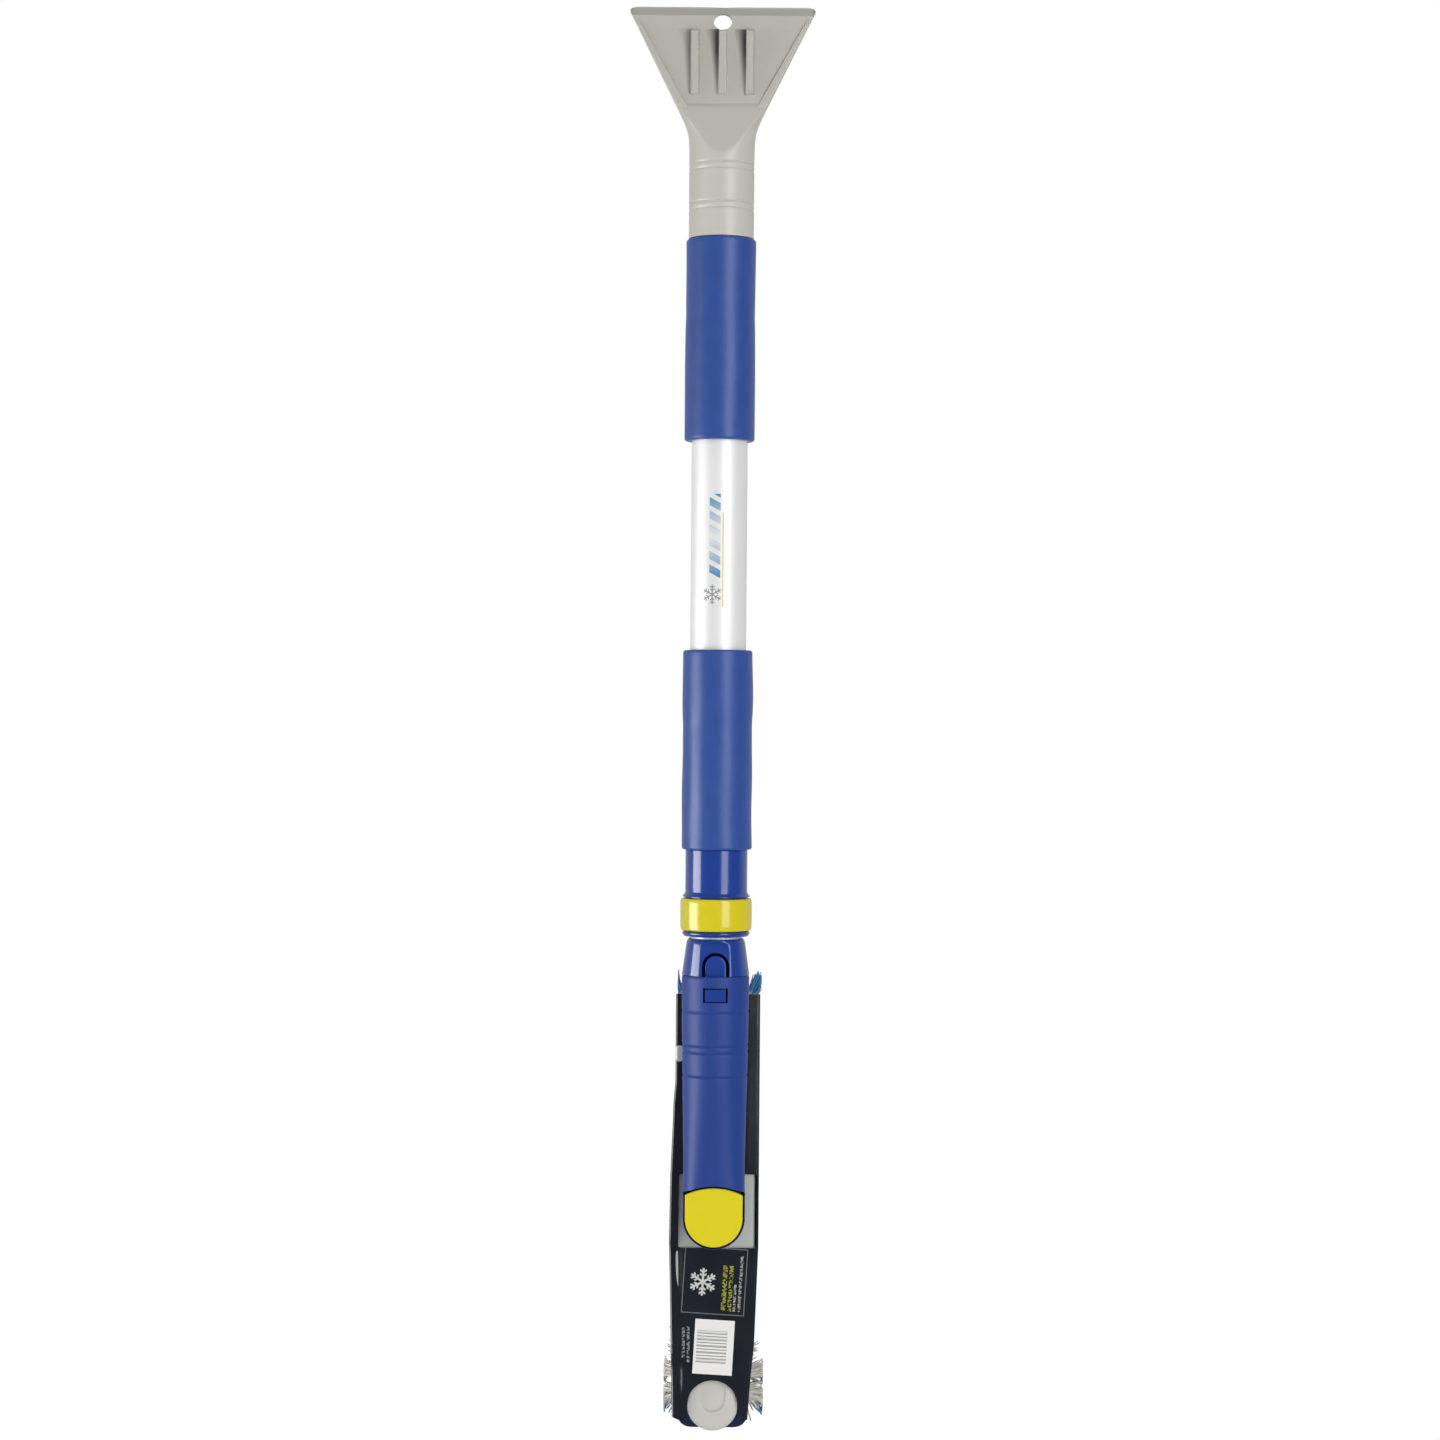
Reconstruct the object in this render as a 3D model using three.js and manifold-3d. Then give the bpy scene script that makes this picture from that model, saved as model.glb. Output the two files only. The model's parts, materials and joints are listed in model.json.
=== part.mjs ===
// Telescoping snow brush with an ice scraper: scraper head, twist-locked
// aluminium handle, arm with a push-button pivot, brush head and its card sleeve.
//
// Millimetres, +Z up. The tool hangs from the hole in the scraper, whose centre
// is the origin. The handle's axis is the Z axis, the button faces -Y and the
// bristles point to +Y.

import * as THREE from 'three';
import { mergeVertices } from 'three/addons/utils/BufferGeometryUtils.js';
import Module from 'manifold-3d';

const wasm = await Module();
wasm.setup();

// ---------------------------------------------------------------- dimensions

const ROUND = 36; // segments of a round piece
const GAP = 0.3; // between pieces that touch

// The blade's back is flat and its front panel slopes from frontTop to frontBottom.
const BLADE = {
  edgeZ: 8.3, bevelZ: 3.6, halfWidth: 53, shoulderZ: 6, neckZ: -62.6, neckHalfWidth: 18.9,
  back: 2, edgeFront: 0.4, frontTop: -2, frontBottom: -5, panelBottomZ: -47,
  rimWidth: 4.4, rimHeight: 1.2, dipDepth: 1.6, dipTopHalf: 5, dipHalf: 3, holeRadius: 4.8,
};
const RIB = { width: 5, pitch: 15.8, topZ: -3.6, bottomZ: -42, front: -7.2, slope: 4 };
const NECK = { radius: 18.6, bottomZ: -124, socketTopZ: -78 };
const THROAT = [
  { z: -49.5, half: 26, front: -6.4, back: 5.6, power: 5 },
  { z: -54, half: 23.4, front: -8.4, back: 8, power: 4 },
  { z: -60, half: 20.4, front: -13, back: 13, power: 2.8 },
  { z: -68, half: NECK.radius, front: -NECK.radius, back: NECK.radius, power: 2 },
];

const TUBE = { radius: 16, wall: 1.2, topZ: -79, bottomZ: -492 };
const GRIP = { radius: 20.1, spans: [[-239.2, -124.3], [-472.3, -358.6]] };
const INNER = { radius: 14.5, wall: 1, topZ: -86, bottomZ: -529.4 };
const GUIDE = { topZ: -82.5, plugBottomZ: -106, bore: 10.5 };

const HOUSING = { topZ: -472.6, radius: 17.7, rimTopZ: -497.5, rimRadius: 19.3, rimBottomZ: -500 };
const CORE = { radius: 17, bottomZ: -521.7, bore: INNER.radius + GAP };
const COLLAR = { topZ: -500.3, bottomZ: -518.6, radius: 20.4, bore: 17.3, camOffset: 0.7 };
const END_RING = { topZ: -518.9, bottomZ: -522 };
const JAW = { halfWidth: 5.6, topZ: -504.4, bottomZ: -514.6, inner: 14.65, outer: 17.15 };

// Screw, rivet and pin in the backs of the round pieces, clear of the inner tube.
const FASTENER = {
  radius: 2, headRadius: 3.6, headThickness: 1.4, tip: 15, neckZ: -114, housingZ: -485,
};
const PIN = { z: -511, front: 11.3, back: 14.3 };

const ADAPTER = {
  topZ: -523.2, chamferZ: -525, shoulderZ: -544, bottomZ: -600, topRadius: 15.7,
  coneRadius: 16.7, shoulderRadius: 19.3, spigotRadius: 16.9, bore: 12.6,
  plugTopZ: -498, plugBore: 11, socketBottomZ: -530,
};
const TONGUE = {
  halfWidth: 6.1, topZ: -532.2, bottomZ: -590, slotHalfWidth: 8, slotTopZ: -530.6,
  slotBottomZ: -592, inner: 14.4, outer: 16.8, padOuter: 18,
  catchHalfWidth: 5.5, catchTopZ: -551.4, catchBottomZ: -558, catchFront: -19.2,
};

const PIVOT_Z = -681.5; // the head turns about an axis along Y at this height
const CUP = { radius: 17.7, front: -13.6, floorFront: -1.5, floorBack: 4, shoulderZ: -665 };
const ARM = [
  { z: -544.3, half: 20, front: -20, back: 20, power: 2 },
  { z: -600, half: 19.3, front: -19.3, back: 19.3, power: 2 },
  { z: -612, half: 19, front: -18.8, back: 18.4, power: 2.1 },
  { z: -648, half: 18, front: -16.2, back: 15, power: 2.4 },
  { z: CUP.shoulderZ, half: 17.7, front: -15.2, back: 14, power: 2.8 },
  { z: PIVOT_Z, half: 17.7, front: -15, back: 14, power: 3.2 },
];
const ARM_BACK = 14; // the back of the arm's cup
const SOCKET = [
  { z: -543.3, half: 17.2, front: -17.2, back: 17.2, power: 2 },
  { z: -602, half: 17.2, front: -17.2, back: 17.2, power: 2 },
  { z: -603, half: 16, front: -15.6, back: 15.6, power: 2 },
  { z: -653, half: 13, front: -12, back: 10, power: 2.4 },
];
const WINDOW = { halfWidth: 7, topZ: -550.4, bottomZ: -558.7 };
const BUTTON = { radius: 16.6, apexZ: -664.1, cornerZ: -668.1, front: -14.2, back: -11.7 };
const PRONG = { radius: 1.6, circle: 7.8, count: 3, back: 9.2 };
const GEAR = {
  teeth: 12, tip: 10.5, root: 8.9, tipWidth: 1.8, rootWidth: 2.6, bore: 4.5, front: 9.5, back: 18,
};
const SPRING = { radius: 6.6, wire: 0.8, turns: 4, front: 19.3, back: 30.4 };
const BOLT = { radius: 2.9, headRadius: 5.2, headFront: -6.3, headBack: -3.2, end: 38.6 };
const WASHER = { radius: 6.2, front: -2.9, back: -1.8 };
const NUT = { radius: 5.8, front: 34.8, back: 38.2 };

const HUB = { radius: 13.5, front: ARM_BACK + GAP, bore: 11, floor: 31.5 };
const SPINE = {
  front: 22, back: 40, halfWidth: 23, endRadius: 14.9, endOffset: 113.9, waist: 55, taper: 20,
  wall: 2.6, faceWall: 6, postRadius: 6, coreRadius: 15,
};
const PAD = { radius: 14.5, thickness: 2 };
const SCREW = { radius: 1.7, headRadius: 3.6, headFront: 24.8, headBack: 27, end: 45.4 };
const BLOCK = { halfWidth: 20.5, halfLength: 124, corner: 6, front: 40.3, back: 46, skin: 0.3 };
const ROW = {
  count: 4, pitch: 10.5, front: 46.3, back: 111, rootHalf: 2.6, tipHalf: 5.6,
  tipSpread: 1.17, rootLength: 232, tipLength: 248,
};
const SLEEVE = {
  halfWidth: 26, front: 20.6, back: 113.6, corner: 3, wall: 0.8, topZ: -557, bottomZ: -803,
  slotHalfWidth: 14.2, windowTopZ: -661.2, windowBottomZ: -703.8, windowLeft: -20.4,
  windowRight: 24.8, notchRadius: 14.9, notchHalfWidth: 17.5, backBottomZ: -752,
};

// ----------------------------------------------------------------- materials

const finish = (color, roughness, metalness = 0) => (
  new THREE.MeshStandardMaterial({ color, roughness, metalness })
);
const MATERIAL = {
  greyPlastic: finish(0xb8b6ac, 0.5),
  paleGreyPlastic: finish(0xa0a3a0, 0.55),
  foam: finish(0x3e5898, 0.85),
  aluminium: finish(0xd8dad8, 0.3, 1),
  glossBlue: finish(0x214495, 0.2),
  matteBlue: finish(0x3a5392, 0.55),
  yellow: finish(0xdccb2b, 0.35),
  steel: finish(0xb0b0b0, 0.35, 1),
  navy: finish(0x1c2c58, 0.5),
  bristle: finish(0xbfbeb8, 0.7),
  card: finish(0x1e242d, 0.4),
};

// ------------------------------------------------------------- solid helpers

// A closed geometry as a solid: shared corners merged, faces with no area
// dropped, and the faces turned round if they point inwards.
function solidOf(geometry) {
  const bare = geometry.clone();
  bare.deleteAttribute('normal');
  bare.deleteAttribute('uv');
  const merged = mergeVertices(bare, 1e-4);
  const points = merged.attributes.position;
  const corners = merged.index.array;
  const [a, b, c] = [new THREE.Vector3(), new THREE.Vector3(), new THREE.Vector3()];
  const kept = [];
  let volume = 0;
  for (let i = 0; i < corners.length; i += 3) {
    const [p, q, r] = corners.slice(i, i + 3);
    if (p !== q && q !== r && r !== p) {
      kept.push(p, q, r);
      a.fromBufferAttribute(points, p);
      b.fromBufferAttribute(points, q);
      c.fromBufferAttribute(points, r);
      volume += a.dot(b.cross(c));
    }
  }
  if (volume < 0) kept.reverse();
  const mesh = new wasm.Mesh({
    numProp: 3, vertProperties: points.array, triVerts: new Uint32Array(kept),
  });
  return new wasm.Manifold(mesh);
}

function geometryOf(solid) {
  const mesh = solid.getMesh();
  const geometry = new THREE.BufferGeometry();
  geometry.setAttribute('position', new THREE.BufferAttribute(mesh.vertProperties, 3));
  geometry.setIndex(new THREE.BufferAttribute(mesh.triVerts, 1));
  geometry.computeVertexNormals();
  return geometry;
}

const group = new THREE.Group();

function addPiece(name, solid, material) {
  const mesh = new THREE.Mesh(geometryOf(solid), material);
  mesh.name = name;
  group.add(mesh);
}

const vectors = (pairs) => pairs.map(([x, y]) => new THREE.Vector2(x, y));

// A profile of [radius, z] points turned about the Z axis.
function turned(profile) {
  return solidOf(new THREE.LatheGeometry(vectors(profile), ROUND).rotateX(Math.PI / 2));
}

// A ring or tube about the Z axis.
function ring(inner, outer, lowZ, highZ) {
  return turned([[inner, lowZ], [outer, lowZ], [outer, highZ], [inner, highZ], [inner, lowZ]]);
}

// A round bar along Y, from y = front to y = back, at (x, z).
function bar(radius, front, back, x = 0, z = PIVOT_Z, segments = 24) {
  const geometry = new THREE.CylinderGeometry(radius, radius, back - front, segments);
  return solidOf(geometry.translate(x, (front + back) / 2, z));
}

function box([x0, y0, z0], [x1, y1, z1]) {
  const geometry = new THREE.BoxGeometry(x1 - x0, y1 - y0, z1 - z0);
  return solidOf(geometry.translate((x0 + x1) / 2, (y0 + y1) / 2, (z0 + z1) / 2));
}

const extruded = (shape, depth) => (
  new THREE.ExtrudeGeometry(shape, { depth, bevelEnabled: false, curveSegments: 12 })
);

// A shape drawn in X and Z, as thick as y = front to y = back.
function slab(shape, front, back) {
  return solidOf(extruded(shape, back - front).rotateX(Math.PI / 2).translate(0, back, 0));
}

// A side view drawn in Y and Z, centred on x and as wide as width.
function sideSlab(points, width, x = 0) {
  const geometry = extruded(new THREE.Shape(vectors(points)), width);
  geometry.translate(0, 0, -width / 2);
  geometry.applyMatrix4(new THREE.Matrix4().set(0, 0, 1, x, 1, 0, 0, 0, 0, 1, 0, 0, 0, 0, 0, 1));
  return solidOf(geometry);
}

// Rounded sections stacked along Z. Each section is a superellipse from
// x = -half to half and from y = front to back; power 2 is an ellipse.
function lofted(sections) {
  const steps = sections.length - 1;
  const geometry = new THREE.CylinderGeometry(1, 1, 1, ROUND, steps);
  const points = geometry.attributes.position;
  const bulge = (value, power) => Math.sign(value) * Math.abs(value) ** (2 / power);
  for (let i = 0; i < points.count; i += 1) {
    const { z, half, front, back, power } = sections[Math.round((0.5 - points.getY(i)) * steps)];
    const x = half * bulge(points.getX(i), power);
    const y = (front + back) / 2 + ((back - front) / 2) * bulge(points.getZ(i), power);
    points.setXYZ(i, x, y, z);
  }
  return solidOf(geometry);
}

// ------------------------------------------------------------------- scraper

// The blade's outline, drawn in by inset on its two slanted sides.
function bladeOutline(inset) {
  const slope = (BLADE.halfWidth - BLADE.neckHalfWidth) / (BLADE.shoulderZ - BLADE.neckZ);
  const side = inset * Math.hypot(1, slope);
  const wide = BLADE.halfWidth - side;
  const narrow = BLADE.neckHalfWidth - side;
  return new THREE.Shape(vectors([
    [-wide, BLADE.edgeZ], [-BLADE.dipTopHalf, BLADE.edgeZ],
    [-BLADE.dipHalf, BLADE.edgeZ - BLADE.dipDepth], [BLADE.dipHalf, BLADE.edgeZ - BLADE.dipDepth],
    [BLADE.dipTopHalf, BLADE.edgeZ], [wide, BLADE.edgeZ],
    [wide, BLADE.shoulderZ], [narrow, BLADE.neckZ], [-narrow, BLADE.neckZ],
    [-wide, BLADE.shoulderZ],
  ]));
}

function scraperBlade() {
  const { back, edgeFront, edgeZ, bevelZ, neckZ, frontTop, frontBottom, panelBottomZ } = BLADE;
  const panel = sideSlab([
    [back, edgeZ], [edgeFront, edgeZ], [frontTop, bevelZ],
    [frontBottom, panelBottomZ], [frontBottom, neckZ], [back, neckZ],
  ], 4 * BLADE.halfWidth);
  let blade = slab(bladeOutline(0), frontBottom, back).intersect(panel);

  const rimTop = frontTop - BLADE.rimHeight;
  const rimBottom = frontBottom - BLADE.rimHeight;
  const rims = slab(bladeOutline(0), rimBottom, 0)
    .subtract(slab(bladeOutline(BLADE.rimWidth), rimBottom - 1, 1))
    .intersect(sideSlab([
      [0, bevelZ - 1], [rimTop, bevelZ - 5], [rimBottom, panelBottomZ], [rimBottom, neckZ],
      [0, neckZ],
    ], 4 * BLADE.halfWidth));
  blade = blade.add(rims);

  for (const index of [-1, 0, 1]) {
    blade = blade.add(sideSlab([
      [-1, RIB.topZ], [RIB.front, RIB.topZ - RIB.slope],
      [RIB.front, RIB.bottomZ + RIB.slope], [-1, RIB.bottomZ],
    ], RIB.width, index * RIB.pitch));
  }

  const throatBottomZ = THROAT.at(-1).z;
  const throat = lofted(THROAT);
  const neck = turned([
    [0, throatBottomZ + 0.5], [NECK.radius, throatBottomZ + 0.5],
    [NECK.radius, NECK.bottomZ], [0, NECK.bottomZ],
  ]);
  const socket = turned([
    [0, NECK.socketTopZ], [TUBE.radius + GAP, NECK.socketTopZ],
    [TUBE.radius + GAP, NECK.bottomZ - 1], [0, NECK.bottomZ - 1],
  ]);
  return blade.add(throat).add(neck).subtract(socket)
    .subtract(bar(BLADE.holeRadius, -20, 20, 0, 0))
    .subtract(bar(FASTENER.radius + GAP, 0, 30, 0, FASTENER.neckZ));
}

// -------------------------------------------------------------------- handle

function outerTube() {
  const tube = ring(TUBE.radius - TUBE.wall, TUBE.radius, TUBE.bottomZ, TUBE.topZ);
  const holes = [FASTENER.neckZ, FASTENER.housingZ].map((z) => (
    bar(FASTENER.radius + GAP, 0, 30, 0, z)
  ));
  return tube.subtract(holes[0]).subtract(holes[1]);
}

// A short fastener along Y whose head sits on the outside of a round piece.
function backFastener(z, surface) {
  const shank = bar(FASTENER.radius, FASTENER.tip, surface + GAP + 0.1, 0, z, 16);
  const head = bar(
    FASTENER.headRadius, surface + GAP, surface + GAP + FASTENER.headThickness, 0, z, 20,
  );
  return shank.add(head);
}

function lockHousing() {
  const step = TUBE.bottomZ - GAP;
  const body = turned([
    [TUBE.radius + GAP, HOUSING.topZ], [HOUSING.radius, HOUSING.topZ],
    [HOUSING.radius, HOUSING.rimTopZ], [HOUSING.rimRadius, HOUSING.rimTopZ],
    [HOUSING.rimRadius, HOUSING.rimBottomZ], [CORE.radius, HOUSING.rimBottomZ],
    [CORE.radius, CORE.bottomZ], [CORE.bore, CORE.bottomZ], [CORE.bore, step],
    [TUBE.radius + GAP, step], [TUBE.radius + GAP, HOUSING.topZ],
  ]);
  const jawWindow = box(
    [-JAW.halfWidth - 0.4, -25, JAW.bottomZ - 0.4],
    [JAW.halfWidth + 0.4, 0, JAW.topZ + 0.4],
  );
  return body.subtract(jawWindow)
    .subtract(bar(FASTENER.radius + GAP, 0, 30, 0, FASTENER.housingZ));
}

// The cam inside the collar is a bore set off-centre towards -X: a quarter
// turn brings its deep side round to the jaw.
function lockCollar() {
  const cam = ring(0.001, COLLAR.bore + 0.1, COLLAR.bottomZ + 2.5, COLLAR.topZ - 2.5);
  return ring(COLLAR.bore, COLLAR.radius, COLLAR.bottomZ, COLLAR.topZ)
    .subtract(cam.translate([-COLLAR.camOffset, 0, 0]));
}

function lockJaw() {
  const front = box([-JAW.halfWidth, -25, JAW.bottomZ], [JAW.halfWidth, 0, JAW.topZ]);
  return ring(JAW.inner, JAW.outer, JAW.bottomZ, JAW.topZ).intersect(front);
}

// ----------------------------------------------------------------- extension

function guidePlug() {
  const plug = INNER.radius - INNER.wall - GAP;
  return turned([
    [GUIDE.bore, GUIDE.topZ], [INNER.radius, GUIDE.topZ], [INNER.radius, INNER.topZ + GAP],
    [plug, INNER.topZ + GAP], [plug, GUIDE.plugBottomZ], [GUIDE.bore, GUIDE.plugBottomZ],
    [GUIDE.bore, GUIDE.topZ],
  ]);
}

function innerTube() {
  return ring(INNER.radius - INNER.wall, INNER.radius, INNER.bottomZ, INNER.topZ)
    .subtract(bar(FASTENER.radius + GAP, 0, 30, 0, PIN.z));
}

// An arch: straight sides and a half-round top.
function archOutline(half, topZ, bottomZ) {
  const shape = new THREE.Shape();
  shape.moveTo(-half, bottomZ);
  shape.lineTo(half, bottomZ);
  shape.absarc(0, topZ - half, half, 0, Math.PI);
  return shape;
}

function adapter() {
  const plug = INNER.radius - INNER.wall - GAP;
  const body = turned([
    [ADAPTER.plugBore, ADAPTER.plugTopZ], [plug, ADAPTER.plugTopZ],
    [plug, ADAPTER.socketBottomZ], [INNER.radius + GAP, ADAPTER.socketBottomZ],
    [INNER.radius + GAP, ADAPTER.topZ], [ADAPTER.topRadius, ADAPTER.topZ],
    [ADAPTER.coneRadius, ADAPTER.chamferZ], [ADAPTER.shoulderRadius, ADAPTER.shoulderZ],
    [ADAPTER.spigotRadius, ADAPTER.shoulderZ], [ADAPTER.spigotRadius, ADAPTER.bottomZ],
    [ADAPTER.bore, ADAPTER.bottomZ], [ADAPTER.bore, ADAPTER.socketBottomZ - 3],
    [ADAPTER.plugBore, ADAPTER.socketBottomZ - 1], [ADAPTER.plugBore, ADAPTER.plugTopZ],
  ]);
  const slot = archOutline(TONGUE.slotHalfWidth, TONGUE.slotTopZ, TONGUE.slotBottomZ);
  return body.subtract(slab(slot, -25, 0))
    .subtract(bar(FASTENER.radius + GAP, 0, plug + 1, 0, PIN.z));
}

function releaseTongue() {
  const outline = slab(archOutline(TONGUE.halfWidth, TONGUE.topZ, TONGUE.bottomZ), -25, 0);
  const blade = ring(TONGUE.inner, TONGUE.outer, TONGUE.bottomZ, TONGUE.topZ);
  const pad = ring(TONGUE.inner, TONGUE.padOuter, ADAPTER.shoulderZ + 0.6, TONGUE.topZ);
  const catchBlock = box(
    [-TONGUE.catchHalfWidth, TONGUE.catchFront, TONGUE.catchBottomZ],
    [TONGUE.catchHalfWidth, -TONGUE.inner - 1, TONGUE.catchTopZ],
  );
  return blade.add(pad).intersect(outline).add(catchBlock);
}

// The button's outline: a shallow arc on top, straight sides, a round bottom.
// grow moves every side outwards.
function buttonOutline(grow) {
  const half = BUTTON.radius + grow;
  const shape = new THREE.Shape();
  shape.moveTo(-half, BUTTON.cornerZ + grow);
  shape.quadraticCurveTo(0, 2 * BUTTON.apexZ - BUTTON.cornerZ + grow, half, BUTTON.cornerZ + grow);
  shape.absarc(0, PIVOT_Z, half, 0, -Math.PI, true);
  return shape;
}

function prongs(radius, front, back) {
  const angles = Array.from({ length: PRONG.count }, (_, i) => (i * 2 * Math.PI) / PRONG.count);
  return angles.map((angle) => bar(
    radius, front, back,
    PRONG.circle * Math.sin(angle), PIVOT_Z + PRONG.circle * Math.cos(angle), 12,
  ));
}

function armShell() {
  const cupOutline = new THREE.Shape();
  cupOutline.moveTo(-CUP.radius, CUP.shoulderZ);
  cupOutline.lineTo(CUP.radius, CUP.shoulderZ);
  cupOutline.absarc(0, PIVOT_Z, CUP.radius, 0, -Math.PI, true);
  const cup = slab(cupOutline, CUP.front, ARM_BACK);
  const aboveButton = slab(buttonOutline(1.1), -30, CUP.front);

  const catchWindow = box(
    [-WINDOW.halfWidth, -25, WINDOW.bottomZ],
    [WINDOW.halfWidth, -10, WINDOW.topZ],
  );
  let shell = lofted(ARM).subtract(aboveButton).add(cup).subtract(lofted(SOCKET))
    .subtract(catchWindow)
    .subtract(slab(buttonOutline(0.4), -30, CUP.floorFront))
    .subtract(bar(HUB.bore, CUP.floorBack, ARM_BACK + 1))
    .subtract(bar(BOLT.radius + GAP, CUP.floorFront - 1, CUP.floorBack + 1));
  for (const hole of prongs(PRONG.radius + 0.4, CUP.floorFront - 1, CUP.floorBack + 1)) {
    shell = shell.subtract(hole);
  }
  return shell;
}

// --------------------------------------------------------------------- pivot

function pivotButton() {
  const plate = slab(buttonOutline(0), BUTTON.front, BUTTON.back);
  return prongs(PRONG.radius, BUTTON.back - 0.5, PRONG.back)
    .reduce((solid, prong) => solid.add(prong), plate);
}

// A gear's outline with every face moved outwards by grow.
function gearOutline(grow) {
  const shape = new THREE.Shape();
  const pitch = (2 * Math.PI) / GEAR.teeth;
  const corner = (radius, angle, width) => {
    const turn = angle + width / (2 * radius);
    return [radius * Math.sin(turn), PIVOT_Z + radius * Math.cos(turn)];
  };
  for (let tooth = 0; tooth < GEAR.teeth; tooth += 1) {
    const angle = tooth * pitch;
    const rootWidth = GEAR.rootWidth + 2 * grow;
    const tipWidth = GEAR.tipWidth + 2 * grow;
    const points = [
      corner(GEAR.root + grow, angle, -rootWidth), corner(GEAR.tip + grow, angle, -tipWidth),
      corner(GEAR.tip + grow, angle, tipWidth), corner(GEAR.root + grow, angle, rootWidth),
    ];
    points.forEach(([x, z], index) => {
      if (tooth + index === 0) shape.moveTo(x, z);
      else shape.lineTo(x, z);
    });
  }
  return shape;
}

function lockGear() {
  return slab(gearOutline(0), GEAR.front, GEAR.back)
    .subtract(bar(GEAR.bore, GEAR.front - 1, GEAR.back + 1));
}

class Helix extends THREE.Curve {
  getPoint(t, target = new THREE.Vector3()) {
    const angle = 2 * Math.PI * SPRING.turns * t;
    const y = SPRING.front + (SPRING.back - SPRING.front) * t;
    return target.set(
      SPRING.radius * Math.cos(angle), y, PIVOT_Z + SPRING.radius * Math.sin(angle),
    );
  }
}

function buttonSpring() {
  const wire = new THREE.Shape();
  for (let side = 0; side < 6; side += 1) {
    const [x, y] = [Math.cos(side * Math.PI / 3), Math.sin(side * Math.PI / 3)];
    if (side === 0) wire.moveTo(SPRING.wire * x, SPRING.wire * y);
    else wire.lineTo(SPRING.wire * x, SPRING.wire * y);
  }
  return solidOf(new THREE.ExtrudeGeometry(wire, {
    steps: 12 * SPRING.turns, bevelEnabled: false, extrudePath: new Helix(),
  }));
}

function pivotBolt() {
  return bar(BOLT.headRadius, BOLT.headFront, BOLT.headBack)
    .add(bar(BOLT.radius, BOLT.headBack - 0.5, BOLT.end, 0, PIVOT_Z, 16));
}

const pierced = (radius, hole, front, back, segments = 24) => (
  bar(radius, front, back, 0, PIVOT_Z, segments).subtract(bar(hole, front - 1, back + 1))
);

// ---------------------------------------------------------------- brush head

// The head's outline: widest around the hub, round at both ends.
function spineOutline(inset) {
  const half = SPINE.halfWidth - inset;
  const end = SPINE.endRadius - inset;
  const top = PIVOT_Z + SPINE.endOffset;
  const bottom = PIVOT_Z - SPINE.endOffset;
  const [high, low] = [PIVOT_Z + SPINE.waist, PIVOT_Z - SPINE.waist];
  const { taper } = SPINE;
  const shape = new THREE.Shape();
  shape.moveTo(end, top);
  shape.absarc(0, top, end, 0, Math.PI);
  shape.bezierCurveTo(-end, top - taper, -half, high + taper, -half, high);
  shape.lineTo(-half, low);
  shape.bezierCurveTo(-half, low - taper, -end, bottom + taper, -end, bottom);
  shape.absarc(0, bottom, end, Math.PI, 2 * Math.PI);
  shape.bezierCurveTo(end, bottom + taper, half, low - taper, half, low);
  shape.lineTo(half, high);
  shape.bezierCurveTo(half, high + taper, end, top - taper, end, top);
  return shape;
}

const ENDS = { upper: PIVOT_Z + SPINE.endOffset, lower: PIVOT_Z - SPINE.endOffset };

function headSpine() {
  const padSeat = SPINE.front + PAD.thickness + GAP;
  let shell = slab(spineOutline(0), SPINE.front, SPINE.back)
    .subtract(slab(spineOutline(SPINE.wall), SPINE.front + SPINE.faceWall, SPINE.back + 1));
  for (const z of Object.values(ENDS)) {
    shell = shell.subtract(bar(PAD.radius + GAP, SPINE.front - 1, padSeat, 0, z))
      .add(bar(SPINE.postRadius, SPINE.front + SPINE.faceWall - 0.5, SPINE.back, 0, z))
      .subtract(bar(SCREW.headRadius + GAP, padSeat - 1, SCREW.headBack + GAP, 0, z))
      .subtract(bar(SCREW.radius + GAP, padSeat, SPINE.back + 1, 0, z, 12));
  }
  return shell.add(bar(SPINE.coreRadius, SPINE.front, SPINE.back))
    .add(bar(HUB.radius, HUB.front, SPINE.front + 1))
    .subtract(slab(gearOutline(GAP), HUB.front - 1, HUB.floor))
    .subtract(bar(BOLT.radius + 0.4, HUB.floor - 1, SPINE.back + 1))
    .subtract(bar(NUT.radius + 0.8, NUT.front - GAP, SPINE.back + 1));
}

function blockScrew(z) {
  return bar(SCREW.headRadius, SCREW.headFront, SCREW.headBack, 0, z, 20)
    .add(bar(SCREW.radius, SCREW.headBack - 0.5, SCREW.end, 0, z, 10));
}

function bristleBlock() {
  const { halfWidth, halfLength, corner } = BLOCK;
  const shape = new THREE.Shape();
  const [top, bottom] = [PIVOT_Z + halfLength, PIVOT_Z - halfLength];
  shape.moveTo(halfWidth, bottom + corner);
  shape.lineTo(halfWidth, top - corner);
  shape.absarc(halfWidth - corner, top - corner, corner, 0, Math.PI / 2);
  shape.absarc(corner - halfWidth, top - corner, corner, Math.PI / 2, Math.PI);
  shape.absarc(corner - halfWidth, bottom + corner, corner, Math.PI, 1.5 * Math.PI);
  shape.absarc(halfWidth - corner, bottom + corner, corner, 1.5 * Math.PI, 2 * Math.PI);
  const depth = BLOCK.back - BLOCK.skin;
  return slab(shape, BLOCK.front, BLOCK.back)
    .subtract(bar(SCREW.radius + GAP, BLOCK.front - 1, depth, 0, ENDS.upper, 12))
    .subtract(bar(SCREW.radius + GAP, BLOCK.front - 1, depth, 0, ENDS.lower, 12));
}

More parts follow.
